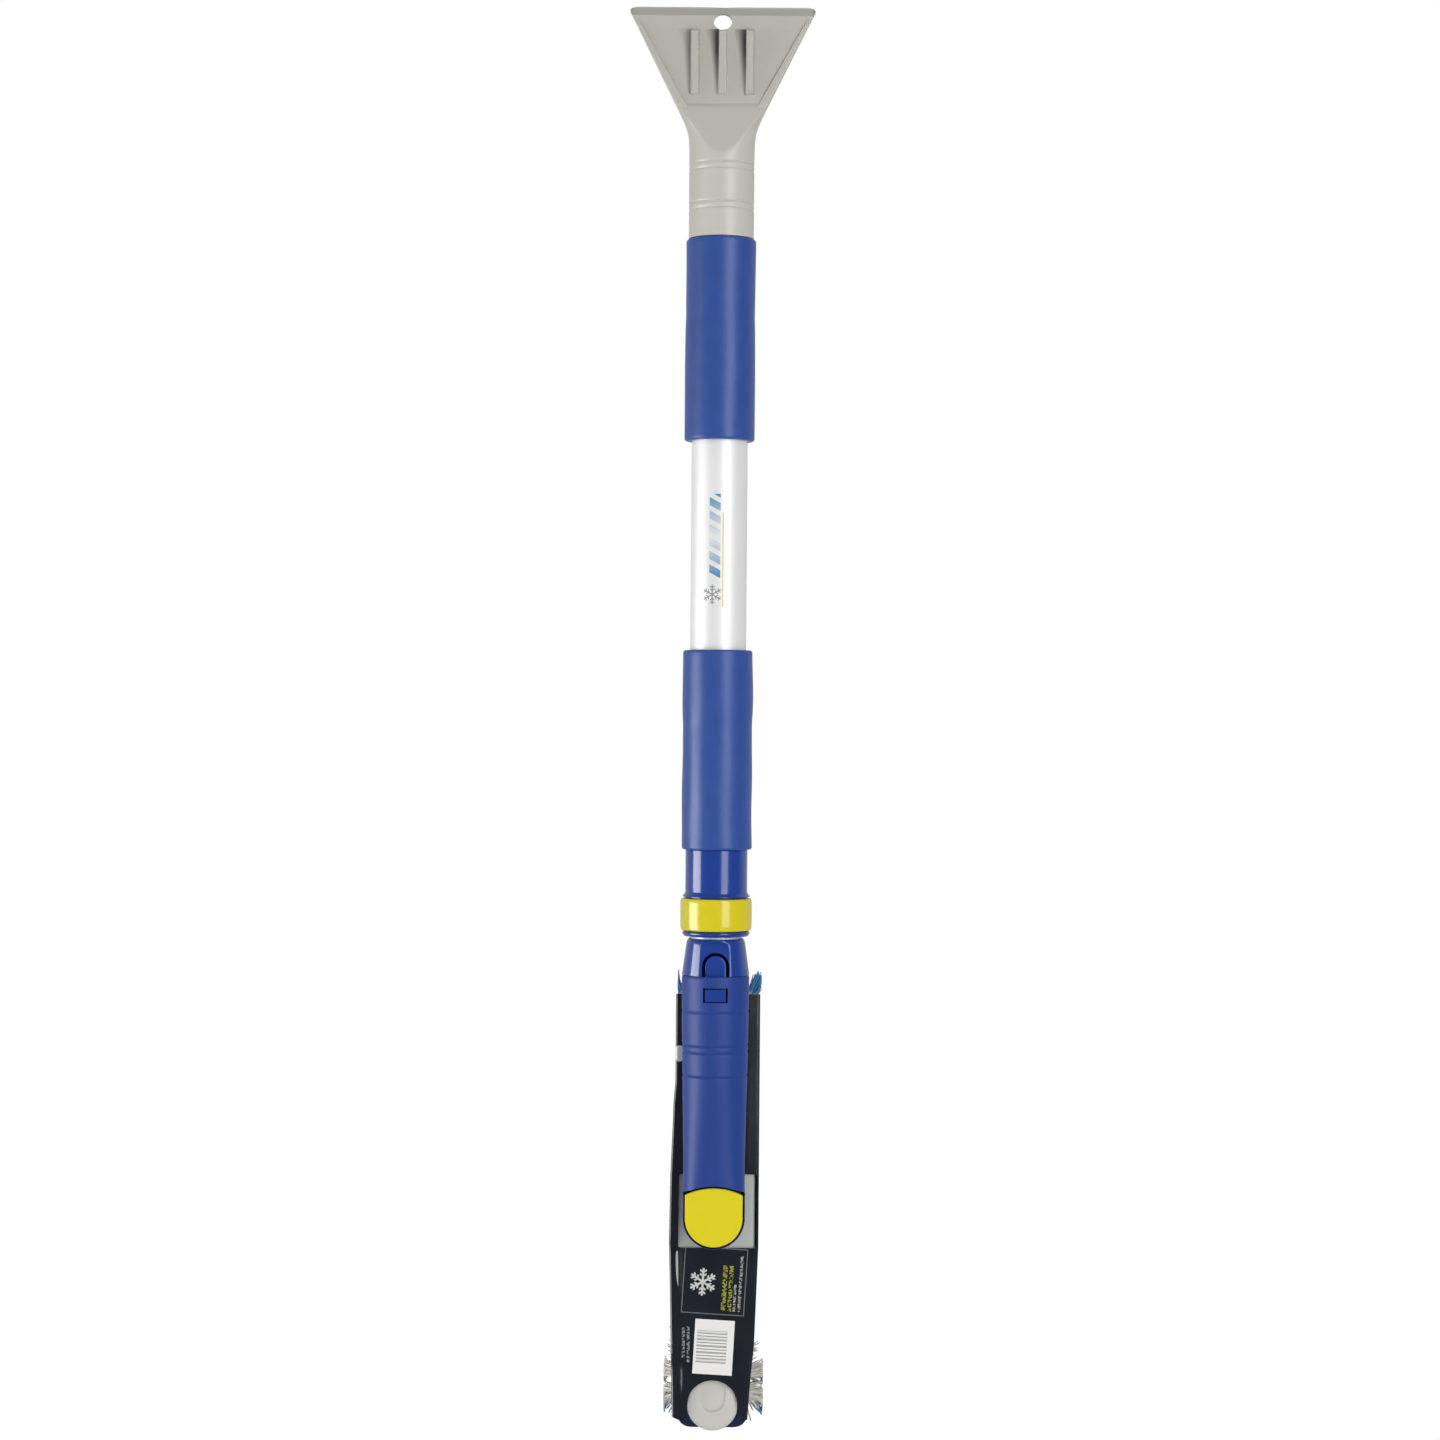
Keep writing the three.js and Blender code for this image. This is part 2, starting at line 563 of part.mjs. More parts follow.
// One row of bristles as a wedge that spreads from its root to its tips.
function bristleRow(index) {
  const root = (index - (ROW.count - 1) / 2) * ROW.pitch;
  const tip = root * ROW.tipSpread;
  const geometry = new THREE.BoxGeometry(1, 1, 1);
  const points = geometry.attributes.position;
  for (let i = 0; i < points.count; i += 1) {
    const isTip = points.getY(i) > 0;
    const [centre, half, length] = isTip
      ? [tip, ROW.tipHalf, ROW.tipLength]
      : [root, ROW.rootHalf, ROW.rootLength];
    points.setXYZ(
      i, centre + 2 * half * points.getX(i), isTip ? ROW.back : ROW.front,
      PIVOT_Z + length * points.getZ(i),
    );
  }
  return solidOf(geometry);
}

// -------------------------------------------------------------------- sleeve

// The sleeve's section in X and Y, drawn in by inset.
function sleeveSection(inset) {
  const half = SLEEVE.halfWidth - inset;
  const [front, back] = [SLEEVE.front + inset, SLEEVE.back - inset];
  const corner = SLEEVE.corner - inset;
  const shape = new THREE.Shape();
  shape.moveTo(half, front + corner);
  shape.absarc(half - corner, back - corner, corner, 0, Math.PI / 2);
  shape.absarc(corner - half, back - corner, corner, Math.PI / 2, Math.PI);
  shape.absarc(corner - half, front + corner, corner, Math.PI, 1.5 * Math.PI);
  shape.absarc(half - corner, front + corner, corner, 1.5 * Math.PI, 2 * Math.PI);
  return shape;
}

function retailSleeve() {
  const height = SLEEVE.topZ - SLEEVE.bottomZ;
  const tube = (inset, extra) => {
    const geometry = new THREE.ExtrudeGeometry(sleeveSection(inset), {
      depth: height + 2 * extra, bevelEnabled: false, curveSegments: 5,
    });
    return solidOf(geometry.translate(0, 0, SLEEVE.bottomZ - extra));
  };
  const frontCut = SLEEVE.front + SLEEVE.corner;
  const slot = box(
    [-SLEEVE.slotHalfWidth, SLEEVE.front - 1, SLEEVE.windowTopZ - 1],
    [SLEEVE.slotHalfWidth, frontCut, SLEEVE.topZ + 1],
  );
  const window = box(
    [SLEEVE.windowLeft, SLEEVE.front - 1, SLEEVE.windowBottomZ],
    [SLEEVE.windowRight, SLEEVE.front + SLEEVE.corner / 2, SLEEVE.windowTopZ],
  );
  const notchShape = new THREE.Shape();
  notchShape.moveTo(-SLEEVE.notchHalfWidth, SLEEVE.bottomZ - 5);
  notchShape.lineTo(SLEEVE.notchHalfWidth, SLEEVE.bottomZ - 5);
  notchShape.absarc(0, ENDS.lower, SLEEVE.notchRadius, 0, Math.PI);
  const notch = slab(notchShape, SLEEVE.front - 1, frontCut);
  const slant = sideSlab([
    [SLEEVE.front + 2, SLEEVE.bottomZ], [SLEEVE.back + 5, SLEEVE.backBottomZ],
    [SLEEVE.back + 5, SLEEVE.bottomZ - 5], [SLEEVE.front + 2, SLEEVE.bottomZ - 5],
  ], 4 * SLEEVE.halfWidth);
  return tube(0, 0).subtract(tube(SLEEVE.wall, 1))
    .subtract(slot).subtract(window).subtract(notch).subtract(slant);
}

// ------------------------------------------------------------------ assembly

addPiece('scraper_blade', scraperBlade(), MATERIAL.greyPlastic);
addPiece('outer_tube', outerTube(), MATERIAL.aluminium);
['foam_grip_upper', 'foam_grip_lower'].forEach((name, index) => {
  addPiece(name, ring(TUBE.radius + GAP, GRIP.radius, ...GRIP.spans[index]), MATERIAL.foam);
});
addPiece('neck_screw', backFastener(FASTENER.neckZ, NECK.radius), MATERIAL.steel);
addPiece('lock_housing', lockHousing(), MATERIAL.glossBlue);
addPiece('housing_rivet', backFastener(FASTENER.housingZ, HOUSING.radius), MATERIAL.steel);
addPiece(
  'lock_end_ring',
  ring(CORE.radius + GAP, HOUSING.rimRadius, END_RING.bottomZ, END_RING.topZ),
  MATERIAL.glossBlue,
);
addPiece('lock_collar', lockCollar(), MATERIAL.yellow);
addPiece('lock_jaw', lockJaw(), MATERIAL.greyPlastic);

addPiece('inner_tube', innerTube(), MATERIAL.aluminium);
addPiece('guide_plug', guidePlug(), MATERIAL.greyPlastic);
addPiece('adapter', adapter(), MATERIAL.glossBlue);
addPiece('adapter_rivet', bar(FASTENER.radius, PIN.front, PIN.back, 0, PIN.z, 16), MATERIAL.steel);
addPiece('release_tongue', releaseTongue(), MATERIAL.glossBlue);
addPiece('arm_shell', armShell(), MATERIAL.matteBlue);

addPiece('pivot_button', pivotButton(), MATERIAL.yellow);
addPiece('pivot_bolt', pivotBolt(), MATERIAL.steel);
addPiece(
  'pivot_washer',
  pierced(WASHER.radius, BOLT.radius + GAP, WASHER.front, WASHER.back),
  MATERIAL.steel,
);
addPiece('pivot_nut', pierced(NUT.radius, BOLT.radius + GAP, NUT.front, NUT.back, 6), MATERIAL.steel);
addPiece('lock_gear', lockGear(), MATERIAL.greyPlastic);
addPiece('button_spring', buttonSpring(), MATERIAL.steel);

addPiece('head_spine', headSpine(), MATERIAL.paleGreyPlastic);
for (const [place, z] of Object.entries(ENDS)) {
  const pad = bar(PAD.radius, SPINE.front, SPINE.front + PAD.thickness, 0, z, ROUND);
  addPiece(`end_pad_${place}`, pad, MATERIAL.greyPlastic);
  addPiece(`block_screw_${place}`, blockScrew(z), MATERIAL.steel);
}
addPiece('bristle_block', bristleBlock(), MATERIAL.navy);
for (let index = 0; index < ROW.count; index += 1) {
  addPiece(`bristle_row_${index + 1}`, bristleRow(index), MATERIAL.bristle);
}
addPiece('retail_sleeve', retailSleeve(), MATERIAL.card);

export default group;
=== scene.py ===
"""Telescoping snow brush with an ice scraper, packed in its card sleeve.

The tool hangs by the hole in its blade. Lengths are in millimetres here and
become metres when a mesh is made. The handle's axis is Z, the button faces -Y
and the bristles point to +Y.
"""
import json
import math

import bmesh
import bpy
import numpy as np
from bpy.props import FloatProperty, FloatVectorProperty, IntProperty, PointerProperty
from mathutils import Matrix, Vector


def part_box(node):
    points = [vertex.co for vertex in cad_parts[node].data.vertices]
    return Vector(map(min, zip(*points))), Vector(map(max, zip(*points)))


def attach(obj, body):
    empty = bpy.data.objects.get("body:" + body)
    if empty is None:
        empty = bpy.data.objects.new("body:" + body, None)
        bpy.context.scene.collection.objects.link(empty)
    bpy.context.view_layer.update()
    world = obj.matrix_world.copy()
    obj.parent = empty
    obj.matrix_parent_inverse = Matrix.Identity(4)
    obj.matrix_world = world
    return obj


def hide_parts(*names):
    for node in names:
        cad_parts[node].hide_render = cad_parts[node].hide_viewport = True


bl_info = {
    "name": "Snow Brush",
    "version": (1, 0, 0),
    "blender": (4, 5, 0),
    "location": "View3D > Sidebar > Snow Brush",
    "description": "Builds a telescoping snow brush with an ice scraper",
    "category": "Add Mesh",
}

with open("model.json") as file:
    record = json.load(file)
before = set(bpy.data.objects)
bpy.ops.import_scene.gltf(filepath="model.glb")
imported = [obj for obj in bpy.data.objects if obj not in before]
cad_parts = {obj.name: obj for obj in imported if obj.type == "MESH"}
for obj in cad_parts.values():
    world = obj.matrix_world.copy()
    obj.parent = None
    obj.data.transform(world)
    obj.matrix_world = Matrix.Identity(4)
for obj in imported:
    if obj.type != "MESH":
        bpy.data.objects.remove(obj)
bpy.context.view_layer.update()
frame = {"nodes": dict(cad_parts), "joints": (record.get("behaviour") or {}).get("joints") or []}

MM = 0.001
TAU = 2 * math.pi


def cad_box(node):
    """The lowest and highest corners of a CAD node, in millimetres."""
    low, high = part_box(node)
    return np.array(low) / MM, np.array(high) / MM


# ------------------------------------------------------------------ settings


def colour(name, value, description):
    """A colour setting with the usual limits."""
    return FloatVectorProperty(
        name=name, description=description, subtype="COLOR", size=3, min=0, max=1, default=value
    )


def length(name, value, description):
    """A length setting in millimetres."""
    return FloatProperty(name=name, description=description + ", in mm", default=value, min=0)


class BrushSizes(bpy.types.PropertyGroup):
    """Sizes that the CAD model leaves to the finished surfaces."""

    grip_corner: length("Grip corner", 2.2, "Radius of the foam grips' ends")
    collar_corner: length("Collar corner", 1.1, "Radius of the lock collar's corners")
    card_bulge: length("Card bulge", 0.9, "How far the card sleeve bows out")
    grip_unevenness: length("Grip unevenness", 0.22, "Swelling and dents of the foam")
    fibre_radius: length("Fibre radius", 0.3, "Radius of one bristle")
    tufts: IntProperty(name="Tufts", description="Tufts in a row", default=24, min=2)
    fibres: IntProperty(name="Fibres", description="Fibres in a tuft", default=84, min=3)


class BrushColours(bpy.types.PropertyGroup):
    """Base colours of the tool's finishes."""

    scraper: colour("Scraper", (0.545, 0.535, 0.480), "Warm grey plastic of the scraper")
    pad: colour("Pad", (0.635, 0.630, 0.595), "Light grey plastic of the end pads")
    spine: colour("Spine", (0.50, 0.515, 0.49), "Pale grey plastic of the brush head")
    foam: colour("Foam", (0.030, 0.084, 0.340), "Blue foam of the grips")
    gloss_blue: colour("Gloss blue", (0.009, 0.050, 0.315), "Shiny blue plastic")
    arm_blue: colour("Arm blue", (0.018, 0.056, 0.290), "Satin blue plastic of the arm")
    yellow: colour("Yellow", (0.78, 0.66, 0.012), "Yellow plastic")
    navy: colour("Navy", (0.010, 0.022, 0.075), "Dark blue plastic of the bristle block")
    card: colour("Card", (0.008, 0.012, 0.019), "Black printed card")
    print_yellow: colour("Print yellow", (0.42, 0.42, 0.045), "Yellow print on the card")
    fibre: colour("Fibre", (0.80, 0.78, 0.72), "Pale length of the bristles")
    fibre_tip: colour("Fibre tip", (0.008, 0.200, 0.480), "Blue tips of the bristles")


# ------------------------------------------------------------ surface helpers


def build_mesh(name, points, blocks):
    """A mesh from points in mm and blocks of faces, one array for each corner count."""
    tris = np.concatenate([
        np.stack([b[:, 0], b[:, i], b[:, i + 1]], 1)
        for b in blocks for i in range(1, b.shape[1] - 1)
    ])
    a, b, c = points[tris[:, 0]], points[tris[:, 1]], points[tris[:, 2]]
    if np.einsum("ij,ij->i", a, np.cross(b, c)).sum() < 0:
        blocks = [block[:, ::-1] for block in blocks]
    sizes = np.concatenate([np.full(len(block), block.shape[1]) for block in blocks])
    loops = np.concatenate([block.ravel() for block in blocks])
    mesh = bpy.data.meshes.new(name)
    mesh.vertices.add(len(points))
    mesh.vertices.foreach_set("co", (points * MM).astype(np.float32).ravel())
    mesh.loops.add(len(loops))
    mesh.loops.foreach_set("vertex_index", loops.astype(np.int32))
    mesh.polygons.add(len(sizes))
    starts = np.concatenate([[0], np.cumsum(sizes)[:-1]])
    mesh.polygons.foreach_set("loop_start", starts.astype(np.int32))
    mesh.update(calc_edges=True)
    mesh.validate()
    return mesh


def skin(rings, ends="fan"):
    """Points and face blocks of a surface through closed rings.

    rings[r, k] is point k of ring r. Quads join each ring to the next. ends is
    "fan", where a middle point closes each end ring, or "loop", where the last
    ring joins the first one.
    """
    count, size = rings.shape[:2]
    points = rings.reshape(-1, 3)
    index = np.arange(count * size).reshape(count, size)
    lower, upper = (index, np.roll(index, -1, 0)) if ends == "loop" else (index[:-1], index[1:])
    lower_next, upper_next = np.roll(lower, -1, 1), np.roll(upper, -1, 1)
    blocks = [np.stack([lower, lower_next, upper_next, upper], -1).reshape(-1, 4)]
    if ends == "fan":
        middles = rings[[0, -1]].mean(1)
        for middle, ring, turned in ((0, index[0], True), (1, index[-1], False)):
            hub = np.full(size, len(points) + middle)
            fan = np.stack([hub, ring, np.roll(ring, -1)], -1)
            blocks.append(fan[:, ::-1] if turned else fan)
        points = np.concatenate([points, middles])
    return points, blocks


def rounded(corners, radius, steps=4):
    """A closed polyline with each corner replaced by a quadratic curve of that radius.

    The curve runs from a point before the corner to one after it, with the
    corner as its control point. radius is one number or one for each corner.
    """
    corners = np.asarray(corners, float)
    radii = np.broadcast_to(radius, len(corners))
    t = np.linspace(0, 1, steps + 1)[:, None]
    out = []
    for i, corner in enumerate(corners):
        if radii[i] <= 0:
            out.append(corner[None])
            continue
        back, ahead = corners[i - 1] - corner, corners[(i + 1) % len(corners)] - corner
        back_length, ahead_length = np.linalg.norm(back), np.linalg.norm(ahead)
        reach = min(radii[i], back_length * 0.45, ahead_length * 0.45)
        start = corner + back / back_length * reach
        end = corner + ahead / ahead_length * reach
        out.append((1 - t) ** 2 * start + 2 * t * (1 - t) * corner + t ** 2 * end)
    return np.concatenate(out)


def subdivided(line, step):
    """A closed polyline whose stretches longer than step are cut into equal parts."""
    out = []
    for start, end in zip(line, np.roll(line, -1, 0)):
        parts = max(1, math.ceil(np.linalg.norm(end - start) / step))
        out.append(start + (end - start) * (np.arange(parts) / parts)[:, None])
    return np.concatenate(out)


def revolve(profile, segments=128):
    """Rings of a closed (radius, z) profile carried round the Z axis.

    Point (r, z) of the profile at angle a is (r sin a, -r cos a, z).
    """
    angles = np.arange(segments) / segments * TAU
    radius, z = profile[:, 0, None], profile[:, 1, None]
    z = np.broadcast_to(z, (len(profile), segments))
    return np.stack([radius * np.sin(angles), -radius * np.cos(angles), z], -1)


def superellipse(sections, rows, segments=128):
    """Rings between sections of (z, half width, front y, back y, power).

    Each ring is x = half sgn(s)|s|^(2/p), y = middle - depth sgn(c)|c|^(2/p)
    with s and c the sine and cosine of its angle; the values run smoothly from
    section to section.
    """
    sections = np.array(sections, float)
    along = np.linspace(0, len(sections) - 1, rows)
    z, half, front, back, power = (
        np.interp(along, np.arange(len(sections)), column) for column in sections.T
    )
    window = np.hanning(9)[1:-1] / np.hanning(9)[1:-1].sum()
    smooth = [
        np.convolve(np.pad(v, 3, mode="reflect", reflect_type="odd"), window, "valid")
        for v in (half, front, back, power)
    ]
    half, front, back, power = (v[:, None] for v in smooth)
    angles = np.arange(segments) / segments * TAU
    s, c = np.sin(angles), np.cos(angles)
    x = half * np.sign(s) * np.abs(s) ** (2 / power)
    y = (front + back) / 2 - (back - front) / 2 * np.sign(c) * np.abs(c) ** (2 / power)
    return np.stack([x, y, np.broadcast_to(z[:, None], x.shape)], -1)


def outward_normals(outline):
    """Unit normals of a closed (x, z) outline, pointing away from its inside."""
    ahead, behind = np.roll(outline, -1, 0), np.roll(outline, 1, 0)
    tangent = ahead - behind
    normal = np.stack([tangent[:, 1], -tangent[:, 0]], -1)
    normal /= np.maximum(np.linalg.norm(normal, axis=1, keepdims=True), 1e-9)
    area = (outline[:, 0] * ahead[:, 1] - ahead[:, 0] * outline[:, 1]).sum()
    return normal if area > 0 else -normal


def stacked(outline, steps):
    """Rings of an (x, z) outline along Y: each step is (inset, y).

    A ring is the outline moved in along its normals by inset, at depth y.
    """
    normals = outward_normals(outline)
    rings = [
        np.column_stack([flat[:, 0], np.full(len(flat), y), flat[:, 1]])
        for inset, y in steps
        for flat in [outline - normals * inset]
    ]
    return np.array(rings)


def slab_steps(front, back, radius, arc=4):
    """(inset, y) steps of a slab with both rims rounded by radius."""
    turn = np.linspace(0, math.pi / 2, arc + 1)
    inset = radius * (1 - np.sin(turn))
    lift = radius * (1 - np.cos(turn))
    steps = list(zip(inset, front + lift))
    return steps + [(i, back - d) for i, d in zip(inset[::-1], lift[::-1])]


def arc(centre_x, centre_z, radius, start, end, steps=24):
    """Points of a circle's arc in X and Z, angles in degrees from +X towards +Z."""
    angle = np.radians(np.linspace(start, end, steps))
    return np.column_stack([centre_x + radius * np.cos(angle), centre_z + radius * np.sin(angle)])


def circle(centre_x, centre_z, radius, count):
    """A closed circle of count points in X and Z."""
    return arc(centre_x, centre_z, radius, 0, 360, count + 1)[:-1]


def waves(points, size, seed):
    """Smooth unevenness of about -1 to 1: a sum of sines along random directions."""
    random = np.random.default_rng(seed)
    directions = random.normal(size=(7, 3)) / size
    phases = random.uniform(0, TAU, 7)
    return np.sin(points @ directions.T * 2.2 + phases).sum(-1) / 3.2


def smoothstep(value, start, end):
    """0 before start, 1 after end, and an S-curve between them."""
    t = np.clip((value - start) / (end - start), 0, 1)
    return t * t * (3 - 2 * t)


# ------------------------------------------------------------- object helpers


def add_object(name, mesh):
    """A new object at the origin that shows mesh."""
    obj = bpy.data.objects.new(name, mesh)
    bpy.context.scene.collection.objects.link(obj)
    return obj


def add_skin(name, rings, ends="fan"):
    """A new object from rings, as skin describes."""
    return add_object(name, build_mesh(name, *skin(rings, ends)))


def add_box(name, low, high):
    """A closed box between two corners, for cutting."""
    x = np.array([low[0], high[0], high[0], low[0]])
    y = np.array([low[1], low[1], high[1], high[1]])
    rings = [np.column_stack([x, y, np.full(4, z)]) for z in (low[2], high[2])]
    return add_skin(name, np.array(rings))


def carve(obj, *cutters, operation="DIFFERENCE"):
    """Cuts each cutter out of obj, or joins it on with operation UNION, and removes it."""
    for cutter in cutters:
        step = obj.modifiers.new("carve", "BOOLEAN")
        step.operation = operation
        step.solver = "EXACT"
        step.object = cutter
        bpy.context.view_layer.update()
        evaluated = obj.evaluated_get(bpy.context.evaluated_depsgraph_get())
        mesh = bpy.data.meshes.new_from_object(evaluated)
        obj.modifiers.clear()
        obj.data = mesh
        bpy.data.objects.remove(cutter)


def join_on(obj, *parts):
    """Joins closed shapes onto obj as one solid."""
    carve(obj, *parts, operation="UNION")


def soften(obj, width, segments=2, angle=32):
    """Rounds obj's sharp edges by width mm."""
    bevel = obj.modifiers.new("edges", "BEVEL")
    bevel.width = width * MM
    bevel.segments = segments
    bevel.limit_method = "ANGLE"
    bevel.angle_limit = math.radians(angle)
    bevel.use_clamp_overlap = True
    bevel.miter_outer = "MITER_ARC"


def finish_piece(obj, material, body, slot, *nodes, crease=38):
    """Shades, paints and mounts a piece that stands for CAD nodes."""
    mesh = obj.data
    if len(mesh.materials):
        mesh.materials[0] = material
    else:
        mesh.materials.append(material)
    mesh.shade_smooth()
    mesh.set_sharp_from_angle(angle=math.radians(crease))
    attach(obj, body)
    if nodes:
        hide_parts(*nodes)


# ------------------------------------------------------------ material helper


class Socket:
    """One output of a material's nodes; arithmetic on it adds Math nodes."""

    def __init__(self, tree, output):
        self.tree = tree
        self.output = output

    def math(self, operation, *others):
        node = self.tree.nodes.new("ShaderNodeMath")
        node.operation = operation
        for place, value in enumerate([self, *others]):
            connect(self.tree, node.inputs[place], value)
        return Socket(self.tree, node.outputs[0])

    def __add__(self, other):
        return self.math("ADD", other)

    def __sub__(self, other):
        return self.math("SUBTRACT", other)

    def __rsub__(self, other):
        return (self * -1.0) + other

    def __mul__(self, other):
        return self.math("MULTIPLY", other)

    def __truediv__(self, other):
        return self.math("DIVIDE", other)

    def __gt__(self, other):
        return self.math("GREATER_THAN", other)

    def __lt__(self, other):
        return self.math("LESS_THAN", other)

    __radd__ = __add__
    __rmul__ = __mul__

    def between(self, low, high):
        """1 where the value is between low and high."""
        return (self > low) * (self < high)

    def clamp(self):
        """The value kept between 0 and 1."""
        return self.math("MAXIMUM", 0.0).math("MINIMUM", 1.0)

    def either(self, other):
        """The larger of two values."""
        return self.math("MAXIMUM", other)


def connect(tree, target, value):
    """Sets a socket to a value or links it to a Socket."""
    if isinstance(value, Socket):
        tree.links.new(value.output, target)
    elif target.type == "RGBA" and len(value) == 3:
        target.default_value = (*value, 1)
    else:
        target.default_value = value


class Nodes:
    """A node tree under construction."""

    def __init__(self, tree):
        self.tree = tree
        self.tree.nodes.clear()

    def node(self, kind, settings=None, outlet=0, **sockets):
        """Adds any node: its type, its settings, then its sockets' values or links."""
        node = self.tree.nodes.new(kind)
        for key, value in (settings or {}).items():
            setattr(node, key, value)
        for key, value in sockets.items():
            connect(self.tree, node.inputs[key.replace("_", " ")], value)
        return Socket(self.tree, node.outputs[outlet])


class Paint(Nodes):
    """A material under construction."""

    def __init__(self, name):
        self.material = bpy.data.materials.new(name)
        self.material.use_nodes = True
        super().__init__(self.material.node_tree)
        self.shader = self.tree.nodes.new("ShaderNodeBsdfPrincipled")
        output = self.tree.nodes.new("ShaderNodeOutputMaterial")
        self.tree.links.new(self.shader.outputs[0], output.inputs[0])

    def place(self, scale):
        """Object coordinates, scaled by a Mapping node."""
        here = self.node("ShaderNodeTexCoord", outlet=3)
        return self.node("ShaderNodeMapping", Vector=here, Scale=scale)

    def axes(self):
        """x, y and z in millimetres."""
        here = self.place(scale=(1 / MM,) * 3)
        split = self.node("ShaderNodeSeparateXYZ", Vector=here)
        return [Socket(self.tree, split.output.node.outputs[i]) for i in range(3)]

    def noise(self, size, detail=2.0, roughness=0.5, stretch=(1, 1, 1)):
        """Noise of about 0 to 1 with features as wide as size mm."""
        scale = tuple(s / (size * MM) for s in stretch)
        return self.node(
            "ShaderNodeTexNoise", Vector=self.place(scale=scale), Scale=1.0,
            Detail=detail, Roughness=roughness,
        )

    def cells(self, size):
        """Distance to the nearest of scattered points about size mm apart."""
        return self.node(
            "ShaderNodeTexVoronoi", Vector=self.place(scale=(1 / (size * MM),) * 3),
            Scale=1.0, Randomness=1.0,
        )

    def blend(self, amount, first, second):
        """Two colours mixed by amount."""
        node = self.tree.nodes.new("ShaderNodeMix")
        node.data_type = "RGBA"
        connect(self.tree, node.inputs[0], amount)
        connect(self.tree, node.inputs[6], first)
        connect(self.tree, node.inputs[7], second)
        return Socket(self.tree, node.outputs[2])

    def bump(self, height, depth, strength=1.0, normal=None):
        """A normal bent by height, whose full range is depth mm."""
        sockets = {"Height": height, "Distance": depth * MM, "Strength": strength}
        if normal is not None:
            sockets["Normal"] = normal
        return self.node("ShaderNodeBump", **sockets)

    def done(self, **sockets):
        """Sets the shader's own sockets and gives back the material."""
        for key, value in sockets.items():
            connect(self.tree, self.shader.inputs[key.replace("_", " ")], value)
        return self.material


def shade(base, factor):
    """A colour made lighter or darker."""
    return tuple(min(1.0, channel * factor) for channel in base)


# ------------------------------------------------------------------ materials


def moulded(name, base, roughness, grain=0.5, grain_depth=0.012, mottle=0.10, coat=0.0,
            shine=0.5, blade=False):
    """Injection-moulded plastic: faint flow marks, a fine grain and uneven gloss.

    blade adds the scraper's painted shade on its bevel and beside its ribs, and painted light on its
    neck.
    """
    paint = Paint(name)
    flow = paint.noise(14, detail=3, stretch=(1, 1, 0.35))
    fine = paint.noise(grain, detail=2, roughness=0.6)
    tone = (flow - 0.5) * mottle + (fine - 0.5) * (mottle * 0.35)
    tint = paint.blend((tone + 0.5).clamp(), shade(base, 0.86), shade(base, 1.14))
    # painted shade and painted light of the scraper's blade
    if blade:
        tint = blade_painted_shade(paint, tint, base)
    scuffs = paint.noise(3.2, detail=4, roughness=0.7, stretch=(1, 1, 0.2))
    gloss = (flow - 0.5) * 0.08 + (scuffs - 0.5) * 0.10 + roughness
    bump = paint.bump(fine, grain_depth)
    return paint.done(
        Base_Color=tint, Roughness=gloss.clamp(), Normal=bump,
        Coat_Weight=coat, Coat_Roughness=0.06, IOR=1.5, Specular_IOR_Level=shine,
    )


RIB_SHADES = (0.35, 0.92, 0.86)


def blade_painted_shade(paint, tint, base):
    """Painted shade on the up-facing bevel, painted light on the neck and throat, and a painted shadow
    on the left side of each rib.

    The shade stands in for the ribs' shadow, which the soft lights leave
    faint. It narrows and fades towards the ribs' lower ends.
    """
    x, y, z = paint.axes()
    # painted shade: the up-facing bevel along the edge is darkened
    band = ((z - BLADE["bevel"]) * 2.0 + 0.5).clamp() * ((z * -1.0 + 7.6) * 1.2 + 0.5).clamp()
    tint = paint.blend(band * 0.85, tint, shade(base, 0.68))
    # painted light: the neck and throat below the panel are lightened
    tint = paint.blend(((z * -1.0 - 46) * 0.2).clamp() * 0.5, tint, shade(base, 1.28))
    tall = ((z + 41) / 24).clamp() * (z < -4.2) * (y < 0)
    steep = z * -0.008 + 0.12
    for place, amount in zip(RIBS["places"], RIB_SHADES):
        gap = x * -1.0 + (place - RIBS["half"] + 0.25)
        near = (gap * steep * -1.0 + 1.25).clamp() * (gap > 0)
        tint = paint.blend(near * tall * amount, tint, shade(base, 0.14))
    return tint


def foam_finish(name, base):
    """Skinned closed-cell foam: soft dents, tiny cells and a chalky bloom."""
    paint = Paint(name)
    cells = paint.cells(0.55)
    dents = paint.noise(9, detail=3)
    streaks = paint.noise(2.2, detail=3, roughness=0.65, stretch=(1, 1, 0.12))
    tone = (dents - 0.5) * 0.5 + (streaks - 0.5) * 0.35 + (cells - 0.4) * 0.12 + 0.5
    tint = paint.blend(tone.clamp(), shade(base, 0.84), shade(base, 1.2))
    fine = paint.bump(cells, 0.05, 0.6)
    soft = paint.bump(dents + streaks * 0.4, 0.18, 0.5, fine)
    return paint.done(
        Base_Color=tint, Roughness=((dents - 0.5) * 0.12 + 0.33).clamp(), Normal=soft,
        Sheen_Weight=0.04, Sheen_Roughness=0.5, Sheen_Tint=(0.55, 0.65, 1.0, 1), IOR=1.45,
    )


